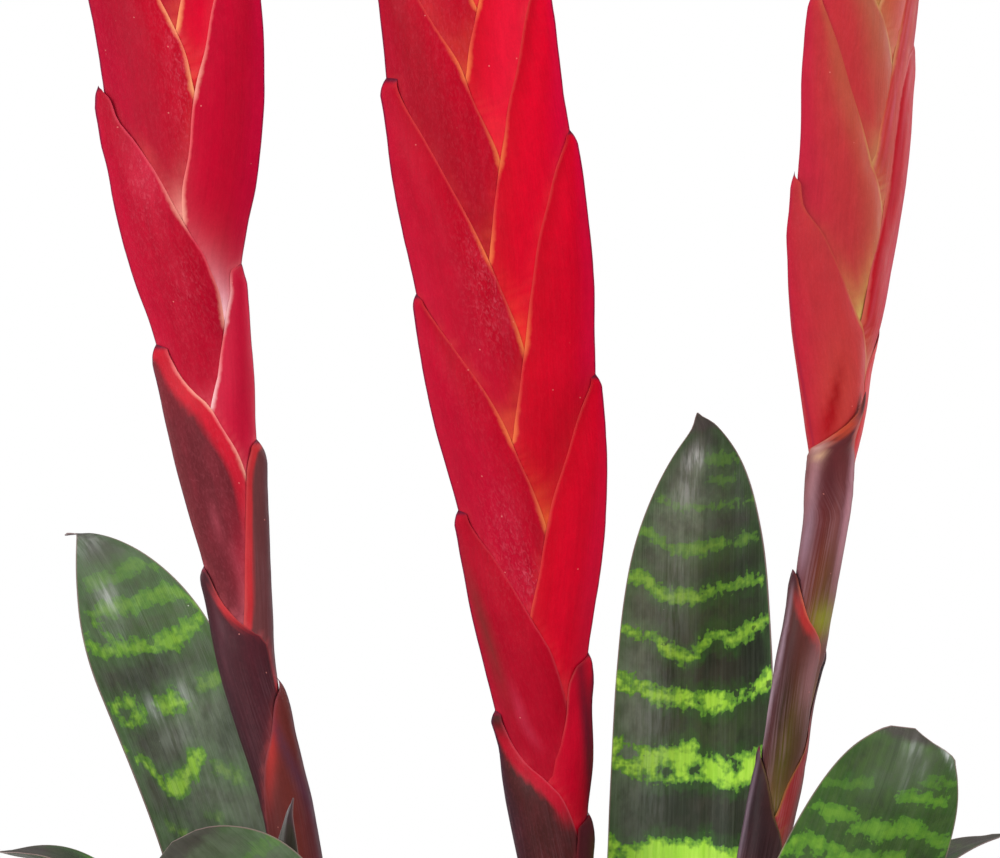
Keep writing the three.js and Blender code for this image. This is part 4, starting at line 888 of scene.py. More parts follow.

# rough: patches of stronger dimpling, where the material also paints more pink sheen and glints
SPECS = {
    "left": {
        "young": spec(LEFT_L, warm_col=(242, 164, 104), glow=((226, 100, 66), 1.8, 14.0, 0.7)),
        "youngR": spec(LEFT_R, warm_col=(242, 164, 104), glow=((226, 100, 66), 1.8, 14.0, 0.7)),
        "L0": spec(LEFT_L, line_col=(226, 96, 84), warm_col=(242, 164, 112), glow=((238, 166, 152), 2.2, 13.0, 0.95), dimple=0.22, rough=[(474, -1, 18, 2.6, 0.9), (500, 0, 12, 3, 0.6)]),
        "R1": spec(LEFT_R, main=(172, 0, 36), keel=(182, 0, 48), margin=(172, 2, 38), glow=((252, 214, 222), 5.0, 16.0, 1.0)),
        "L1": spec(LEFT_L, spots=[((154, 0, 32), 410, 4, 15, 9, 0.7), ((204, 40, 70), 452, -10, 14, 6, 0.5)], keel=(184, 10, 48), main=(168, 0, 36), margin=(158, 0, 30), glow=((224, 96, 110), 1.4, 8.0, 0.6), dimple=0.22, rough=[(446, -12, 15, 4.5, 0.9), (418, -6, 10, 4, 0.4)],
                   line=((388, 0.5), (410, 0.9), (430, 0.8), (468, 0.7)), line_col=(214, 70, 90)),
        "R2": spec(LEFT_R, keel=(198, 32, 66), main=(180, 14, 48), margin=(186, 32, 58), glow=((214, 100, 110), 1.2, 6.0, 0.6), warm_col=(244, 206, 206)),
        # left L2: the thin leaning pink spot at 358 is a painted highlight streak
        "L2": spec(LEFT_L, shiny=0.3, main=(98, 30, 38), keel=(112, 44, 50), margin=(98, 30, 38), band=((184, 22, 42), 3.0, 350), glow=((206, 110, 124), 1.6, 9.0, 0.55), dimple=0.3,
                   line_col=(226, 100, 110), spots=[((196, 56, 60), 399, -6, 7, 5, 0.75), ((146, 18, 42), 352, 2.2, 12, 3.4, 0.8), ((190, 80, 96), 358, -3.0, 9, 0.8, 0.5, -0.30)]),
        "R3": spec(LEFT_R, main=(96, 50, 52), keel=(86, 52, 58), margin=(96, 50, 52), band=((178, 40, 46), 1.5, 324), glow=((196, 40, 50), 1.4, 8.0, 0.5), line_col=(214, 84, 90), shiny=0.6, line=((0, 0.35),), warm=0.2),
        "L3": spec(LEFT_L, main=(64, 26, 34), keel=(58, 30, 40), margin=(64, 26, 34), band_tip=3.0, band=((176, 40, 46), 1.4, 333), glow=((150, 50, 50), 1.5, 8, 0.3), dimple=0.1, warm=0.0, shiny=0.15, line=((300, 0.1), (325, 0.2), (345, 0.5)),
                   line_col=(206, 80, 80), spots=[((92, 58, 66), 332, -6.4, 14, 0.9, 0.6, -0.10)]),
        "R4": spec(LEFT_R, shiny=0.25, main=(96, 38, 34), keel=(76, 34, 48), margin=(92, 40, 40), glow=((120, 30, 30), 1.4, 8, 0.3), line_col=(130, 60, 66), warm=0.0, spots=[((180, 44, 40), 306, -0.6, 11, 1.5, 0.75, 0.3), ((74, 44, 66), 300, 4.6, 22, 1.4, 0.6, -0.2)]),
    },
    "middle": {
        "young": spec(MID_L, main=(176, 22, 36), glow=((196, 72, 40), 2.6, 20.0, 0.75)), "youngR": spec(MID_R, main=(222, 18, 50), keel=(226, 24, 60), glow=((206, 60, 40), 2.2, 20.0, 0.75)),
        "L0": spec(MID_L, main=(158, 2, 28), keel=(168, 8, 38), glow=((206, 70, 36), 1.6, 16.0, 0.8)), "R1": spec(MID_R, glow=((232, 92, 40), 2.0, 16.0, 0.85)), "L1": spec(MID_L, keel=(186, 14, 48), dimple=0.12, rough=[(420, -4, 17, 6, 0.8)], glow=((226, 108, 44), 1.5, 14.0, 0.9)), "R2": spec(MID_R, main=(210, 0, 37), base=(184, 0, 28), base_z=384, base_len=22, glow=((236, 118, 48), 1.7, 13.0, 0.9)),
        "L2": spec(MID_L, main=(180, 0, 40), dimple=0.12, glow=((200, 30, 50), 1.2, 5.0, 0.3), rough=[(347, -3, 5, 3, 1.3), (358, -7.5, 12, 5, 0.9), (396, -9, 12, 4, 0.3)]), "R3": spec(MID_R, main=(208, 0, 36), keel=(212, 0, 50), warm=0.25, glow=((226, 84, 84), 1.2, 7.0, 0.6)),
        # middle L3: the pink spot at 313 is a painted fold highlight
        "L3": spec(MID_L, COOL, keel=(178, 12, 44), main=(172, 1, 34), margin=(168, 0, 30), dimple=0.12, rough=[(352, -8, 9, 4, 0.35)], line=((302, 0.3), (316, 0.9), (340, 0.9), (365, 0.6)),
                   line_col=(214, 66, 80), spots=[((96, 50, 42), 334, -15.2, 17, 1.7, 0.6, -0.18), ((214, 70, 100), 313, -8.0, 8, 1.0, 0.35, -0.34)]),
        "R4": spec(MID_R, COOL, keel=(120, 24, 50), main=(196, 2, 38), margin=(190, 4, 38), keel_w=0.30, line=((287, 0.1), (306, 0.25), (316, 0.9), (330, 0.5)), line_col=(226, 100, 100), spots=[((84, 20, 40), 306, 7.4, 26, 1.5, 0.9, -0.02)]),
        "L4": spec(MID_L, COOL, shiny=0.3, main=(72, 30, 30), keel=(60, 34, 48), margin=(68, 30, 30), band_tip=1.5, band=((184, 12, 40), 2.4, 284), dimple=0.2, line_col=(220, 80, 96)),
        "R5": spec(MID_R, COOL, shiny=0.3, main=(84, 30, 42), keel=(66, 30, 44), margin=(84, 26, 36), line_col=(150, 50, 60)),
    },
    "right": {
        "young": spec(RIGHT_L, main=(178, 66, 52), keel=(184, 46, 56), margin=(168, 96, 62), glow=((188, 156, 84), 2.4, 22.0, 0.85)),
        "youngR": spec(RIGHT_R, main=(186, 66, 60), keel=(204, 66, 96), margin=(182, 80, 56), glow=((190, 140, 80), 2.4, 22.0, 0.85)),
        "L0": spec(RIGHT_L, main=(182, 44, 50), keel=(188, 34, 54), margin=(172, 84, 62), glow=((178, 130, 84), 2.4, 22.0, 0.85)),
        "R1": spec(RIGHT_R, main=(178, 54, 50), keel=(190, 56, 80), margin=(178, 44, 42), base=(184, 20, 44), base_z=426, base_len=24, keel_w=0.55, marg_from=0.4, glow=((196, 158, 92), 2.2, 18.0, 0.8), line_col=(196, 84, 66), streaks=[((210, 110, 120), 1.4, 0.35, 0.35), ((200, 100, 126), 3.2, 0.5, 0.35)]),
        "L1": spec(RIGHT_L, main=(178, 44, 50), keel=(178, 28, 52), margin=(178, 74, 56), glow=((210, 190, 102), 2.8, 24.0, 0.95)),
        "R2": spec(RIGHT_R, main=(186, 26, 46), keel=(190, 46, 76), margin=(174, 14, 30), keel_w=0.55, marg_from=0.35, glow=((204, 160, 88), 2.0, 14.0, 0.7), line_col=(214, 120, 120), warm_col=(214, 130, 100), tip=(170, 50, 80), line=((400, 0.6), (430, 0.5), (450, 0.9)), streaks=[((206, 90, 110), 2.6, 0.5, 0.35)]),
        "L2": spec(RIGHT_L, main=(178, 42, 50), keel=(182, 26, 50), margin=(180, 48, 52), glow=((200, 110, 70), 1.6, 8.0, 0.4), spots=[((192, 62, 54), 392, 1.0, 18, 6.0, 0.8), ((146, 0, 8), 391.5, -0.6, 8.5, 1.35, 1.0, 0.16), ((156, 0, 14), 386, -1.8, 4.5, 2.0, 0.9, 0.16)]),
        "R3": spec(RIGHT_R, tip=(180, 60, 70), main=(200, 56, 66), keel=(212, 104, 124), margin=(196, 46, 50), warm=0.2, line=((380, 0.5), (400, 0.3)), line_col=(150, 70, 60)),
        # right B3: the pale mauve spots stand for pale fibres and painted sheen; the dark and olive spots are its own
        # colour
        "B3": spec(RIGHT_L, shiny=0.3, crease=0.0, main=(92, 36, 38), keel=(84, 34, 38), margin=(96, 38, 40), band_tip=3.0, band=((186, 66, 42), 1.5, 378), line_col=(196, 88, 58), warm=0.0, tip=(70, 28, 34), tip_len=7.0,
                   glow=((110, 100, 40), 2.0, 9.0, 0.6), dimple=0.05,
                   spots=[((198, 150, 142), 380, -4.0, 4.0, 1.8, 0.9), ((166, 116, 122), 371, -4.5, 7, 1.3, 0.85), ((148, 116, 130), 359, -3.9, 10, 1.2, 0.85), ((134, 74, 76), 360, 2.5, 12, 1.3, 0.7), ((190, 128, 142), 362, 4.9, 20, 0.9, 0.8, 0.03),
                          ((214, 176, 120), 377.5, -3.6, 1.2, 1.2, 0.4), ((112, 26, 36), 352, 0.4, 7, 1.4, 0.5), ((100, 66, 24), 345, 1.6, 13, 2.8, 0.75), ((136, 138, 28), 338.5, 3.2, 4.2, 2.8, 0.9)]),
        # right L4: the mauve spot on the right and the thin pale lilac line along the left edge are painted highlights
        "L4": spec(RIGHT_L, shiny=0.3, crease=0.3, main=(84, 42, 38), keel=(74, 42, 48), margin=(84, 42, 40), band_tip=3.0, band=((162, 44, 42), 1.8, 328), line_col=(220, 120, 90), warm=0.0, tip=(60, 26, 34), tip_len=6.0,
                   glow=((96, 96, 26), 2.2, 8.0, 0.8), dimple=0.05, line=((300, 0.0), (326, 0.0), (334, 0.5)),
                   spots=[((76, 72, 18), 307, 0.2, 14, 2.6, 0.95, 0.05), ((156, 104, 108), 325, 3.0, 10, 1.8, 0.75), ((56, 30, 34), 326, -3.6, 14, 1.4, 0.6), ((44, 32, 16), 318, -2.2, 9, 1.4, 0.8), ((76, 54, 26), 312, 2.2, 7, 1.6, 0.75), ((176, 150, 166), 322, -5.8, 26, 0.45, 0.7)]),
        "R5": spec(RIGHT_R, shiny=0.3, main=(88, 36, 30), keel=(70, 34, 42), margin=(142, 38, 40), marg_from=0.35, line_col=(150, 110, 50), warm=0.0, glow=((90, 60, 30), 1.5, 8.0, 0.5), dimple=0.05,
                   line=((296, 0.8), (305, 0.7), (311, 0.1), (340, 0.0)), spots=[((156, 40, 42), 301, 1.0, 7, 2.6, 0.8), ((84, 58, 64), 323, 6.0, 10.5, 9.0, 1.0)]),
        # right L6: the thin pale line along the left edge is a painted highlight
        "L6": spec(RIGHT_L, shiny=0.25, main=(44, 26, 30), keel=(40, 26, 34), margin=(58, 34, 34), line_col=(110, 84, 44), warm=0.0, dimple=0.05, spots=[((140, 120, 136), 290, -5.8, 22, 0.45, 0.6)]),
    },
}
STALK_SPEC = dict(keel=(62, 30, 46), main=(74, 40, 40), margin=(96, 44, 44), base=(88, 70, 44), base_len=22, tip=(40, 20, 30), tip_len=4.0,
                  line_col=(140, 80, 84), warm_col=(140, 80, 84), dimple=0.1)


# bracts whose tip stands off more, or less, than the others: flare, rounding, drawn to a keen point
STAND = {("left", "L1"): (2.0, 0.9, True), ("left", "R2"): (0.2, 0.5, True), ("right", "L2"): (2.0, 0.9, True), ("right", "R2"): (0.4, 1.4, False),
         ("right", "R3"): (0.9, 0.9, False)}

# bracts that are fuller beside the tip of the bract below: height, half height, depth
SWELL = {("right", "R2"): (411, 9, 1.0)}

# bracts whose tip is set to one side of their own middle: height, degrees
SKEW = {("right", "B3"): [(364, 0), (372.8, -46), (376.7, -49), (379.5, -41), (381.2, -19.5), (385.1, 4), (388.5, 16.5), (393.6, 19)]}


def grow_spike(name, d):
    sp = Spike(name, d)
    names = {v[0]: n for n, v in sp.bracts.items()}
    first = len(sp.bracts)
    mats = MATS[name]
    items = []
    seed = {"left": 100, "middle": 200, "right": 300}[name]
    # the young bracts of the tip, innermost first
    tip = Soup()
    last_k = len(sp.nodes) - 1
    last_sep = sp.bracts[names[first - 1]][1] % 360
    for k in range(last_k, first - 1, -1):
        z0 = sp.node_z(k)
        rows = [(sp.node_z(k + dn) if k + dn < sp.nu_k[-1] else sp.nu_z[-1] + (k + dn - sp.nu_k[-1]) * 8.0, h) for dn, h in YOUNG_HALF]
        lim = sp.top - 0.4 * (last_k - k) * 0.3
        if rows[-1][0] > lim:
            s = (lim - z0) / (rows[-1][0] - z0)
            rows = [(z0 + (z - z0) * s, h) for z, h in rows]
        side = (last_sep + 180 * ((k - first + 1) % 2)) % 360
        rank = "young" if side > 90 else "youngR"
        sc = SPECS[name][rank]
        items.append(build_bract(sp, k, 180 if side > 90 else 0, rows, (lambda c, s=sc: shade(c, s)), tip, seed + k, cells=22, dz=2.0, flare=0.9 if k > last_k - 3 else FLARE, rounded=0.7 if k > last_k - 3 else 1.25))
    singles = []
    for k in range(first - 1, -1, -1):
        n = names[k]
        _, keel, table = sp.bracts[n]
        so = Soup()
        sc = SPECS[name][n]
        hug = 0.75 if n in ("B3",) else 1.0
        soft_tip = 0.3 if n in ("B3", "R5", "L6", "L4") and name == "right" else 1.25
        stand = STAND.get((name, n), (FLARE, soft_tip, False))
        items.append(build_bract(sp, k, keel, table, (lambda c, s=sc: shade(c, s)), so, seed + k, hug=hug, flare=stand[0], rounded=stand[1], keen=stand[2], swell=SWELL.get((name, n)), sink=0.22 if name == "right" and n in ("R1", "R2", "R3") else 0.05, skew=SKEW.get((name, n))))
        singles.append((f"{name}_bract_{k + 1:02d}", so, n))
    # stalk bracts on the stem below the sword
    stem = Soup()
    k = -1
    while sp.node_z(k) > BALL_TOP + 16 and sp.node_z(k) > sp.nu_z[0] + 1:
        z0 = sp.node_z(k)
        length = min(2.15 * sp.step, 279.0 - z0)
        keel = (180 if (round(last_sep / 180) + (first - 1 - k)) % 2 else 0) + 24 * k
        rows = [(z0 + t * length, h) for t, h in STALK_HALF]
        items.append(build_bract(sp, k, keel, rows, (lambda c: shade(c, STALK_SPEC)), stem, seed + 40 + k, cells=24, dz=2.4, flare=0.8, wav=0.8, drop=0.0, rounded=0.5))
        k -= 1
    for it in items:
        finish_bract(it)
    # the stem itself
    low, top = sp.nodes[0], sp.nodes[first] - 0.5
    zs = np.concatenate([np.arange(BALL_TOP - 1.0, low, 3.0), np.arange(low, top, 6.0)])
    r = np.interp(zs, [BALL_TOP, BALL_TOP + 16, BALL_TOP + 34, low - 22, low - 4, top], [7.2, 7.0, 4.3, 4.3, 2.4, 2.0])
    path = np.stack([sp.cx(zs), sp.cy(zs), zs], axis=-1)
    n = len(zs)
    tube(stem, path, r, 20, dict(coord=np.stack([np.zeros(n), zs, np.full(n, 3.0)], -1), edge=np.full((n, 3), 30.0),
                                 col=np.repeat(lin(96, 88, 50)[None], n, 0), side=np.repeat(np.array([[1.0, 0.0, 0.0]]), n, 0),
                                 lcol=np.repeat(lin(120, 60, 60)[None], n, 0), skin=np.repeat(np.array([[0.2, 0.6, 1.0]]), n, 0)))
    ob = stem.mesh(f"{name}_stem")
    ob.data.materials.append(mats["stalk"])
    set_piece(ob, "flower_stem", f"{name}_flower_stem")
    for node, so, n in singles:
        ob = so.mesh(f"bract_{node}")
        low_part = int(node[-2:]) <= (4 if name == "right" else 3 if name == "left" else 2)
        ob.data.materials.append(mats["stalk"] if low_part else mats["sword"])
        set_piece(ob, "stalk_bract" if low_part else "sword_bract", node)
    # the closed bud in the middle of the tip
    zs = np.linspace(sp.top - 34.0, sp.top - 0.6, 22)
    t = (zs - zs[0]) / (zs[-1] - zs[0])
    r = np.minimum(1.9, 0.75 * sp.hh(zs)) * np.power(1 - t, 0.45) + 0.12
    n = len(zs)
    young = SPECS[name]["young"]
    tube(tip, np.stack([sp.cx(zs), sp.cy(zs), zs], axis=-1), r, 14, dict(
        coord=np.stack([np.zeros(n), zs, np.full(n, 9.0)], -1), edge=np.full((n, 3), 30.0), col=blend(lin(*young["main"]) + 0 * zs[:, None], lin(*young["glow"][0]), 0.35 + 0 * zs),
        side=np.repeat(np.array([[1.0, 0.0, 0.0]]), n, 0), lcol=np.repeat(lin(*young["line_col"])[None], n, 0), skin=np.repeat(np.array([[0.1, 0.6, 0.0]]), n, 0)))
    ob = tip.mesh(f"{name}_young_bracts")
    ob.data.materials.append(mats["sword"])
    set_piece(ob, "sword_bract", f"{name}_sword_tip")
    return sp


MATS = {
    "left": dict(sword=bract_material("sword_left", 0.9, (228, 96, 84)), stalk=bract_material("stalk_left", 0.6, (205, 110, 110), coat=0.035, rough=0.36, gloss=0.11, fibre=0.10)),
    "middle": dict(sword=bract_material("sword_middle", 1.0, (226, 112, 70)), stalk=bract_material("stalk_middle", 0.6, (206, 90, 80), coat=0.035, rough=0.36, gloss=0.11, fibre=0.10)),
    "right": dict(sword=bract_material("sword_right", 0.7, (206, 140, 84), (120, 30, 66), keel_k=0.25, gloss=0.10), stalk=bract_material("stalk_right", 0.6, (190, 120, 110), coat=0.035, rough=0.36, gloss=0.11, fibre=0.26)),
}


# =====================================================================  leaves

LEAF_FIRST_R, RING_STEP, CHANNEL_R = 11.2, 2.05, 46.0
SHEATH_WIDEN, OPEN_FROM, OPEN_SPAN = 1.1, 1.02, 90.0
CROWNS = {"left": (-34, -8), "middle": (8, 34), "right": (38, -16)}

# name, rosette, ring, azimuth, length, width, sheath, first lean, lean at the tip, how late it bends,
# turn of its heading, sideways lean, then the pointed end: length, fullness, sharpness
LEAVES = [
    ("left_leaf_01", "left", 0, 216.02, 214.17, 33.6, 69.88, 13.43, 9.15, 3.71, 0.22, 23.14, 133.08, 3.32, 1.12),
    ("left_leaf_02", "left", 1, 126.26, 298.52, 34.42, 63.36, 13.74, 118.25, 11.16, -36.98, 23.4, 58.28, 1.95, 1.62),
    ("left_leaf_03", "left", 2, 177.89, 220.53, 34.24, 57.48, 15.45, 92.95, 4.19, -3.05, 0.56, 26.87, 3.47, 1.12),
    ("left_leaf_04", "left", 3, 96, 236, 38, 52, 15, 98, 1.7, 0, 0, 61, 2.2, 0.8),
    ("left_leaf_05", "left", 4, 288.6, 214.21, 40.91, 56, 9.5, 35.58, 3.51, -39.69, -37.87, 28.43, 2.87, 0.52),
    ("left_leaf_06", "left", 5, 166, 276, 39, 36, 24, 112, 1.4, 0, 0, 72, 2.2, 0.8),
    ("left_leaf_07", "left", 6, 222, 280, 40, 28, 28, 118, 1.3, 0, 0, 73, 2.2, 0.8),
    ("left_leaf_08", "left", 7, 142, 270, 40, 20, 30, 120, 1.3, 0, 0, 70, 2.2, 0.8),
    ("left_leaf_09", "left", 8, 250, 262, 40, 12, 40, 124, 1.2, 0, 0, 68, 2.2, 0.8),
    ("middle_leaf_01", "middle", 0, 96, 200, 37, 70, 8, 82, 2.0, 0, 0, 52, 2.2, 0.8),
    ("middle_leaf_02", "middle", 1, 52, 222, 38, 62, 14, 92, 1.8, 0, 0, 58, 2.2, 0.8),
    ("middle_leaf_03", "middle", 2, 140, 230, 38, 54, 16, 98, 1.7, 0, 0, 60, 2.2, 0.8),
    ("middle_leaf_04", "middle", 3, 78, 262, 39, 46, 18, 104, 1.6, 0, 0, 68, 2.2, 0.8),
    ("middle_leaf_05", "middle", 4, 112, 268, 39, 38, 22, 110, 1.5, 0, 0, 70, 2.2, 0.8),
    ("middle_leaf_06", "middle", 5, 36, 270, 40, 30, 26, 114, 1.4, 0, 0, 70, 2.2, 0.8),
    ("middle_leaf_07", "middle", 6, 128, 266, 40, 22, 32, 120, 1.3, 0, 0, 69, 2.2, 0.8),
    ("middle_leaf_08", "middle", 7, 90, 262, 40, 14, 40, 124, 1.2, 0, 0, 68, 2.2, 0.8),
    ("right_leaf_01", "right", 0, 69.75, 320.38, 45.28, 72.65, 13.72, 27.8, 0.48, -11.79, 14.51, 377.61, 15.14, 1.04),
    ("right_leaf_02", "right", 2, -60.89, 247.71, 42.73, 59.5, 26.84, 31.33, 2.76, -39.38, 18.39, 83.31, 2.66, 0.4),
    ("right_leaf_03", "right", 1, 38.32, 234.68, 31.51, 63.95, 24.23, 94.14, 3.7, 3.19, -4.38, 120.43, 1.26, 0.5),
    ("right_leaf_04", "right", 3, -96, 246, 38, 52, 18, 102, 1.6, 0, 0, 64, 2.2, 0.8),
    ("right_leaf_05", "right", 4, 44, 266, 39, 44, 20, 108, 1.6, 0, 0, 69, 2.2, 0.8),
    ("right_leaf_06", "right", 5, -8, 276, 39, 36, 26, 114, 1.4, 0, 0, 72, 2.2, 0.8),
    ("right_leaf_07", "right", 6, -40, 276, 40, 28, 30, 118, 1.3, 0, 0, 72, 2.2, 0.8),
    ("right_leaf_08", "right", 7, 26, 268, 40, 18, 36, 122, 1.2, 0, 0, 70, 2.2, 0.8),
]
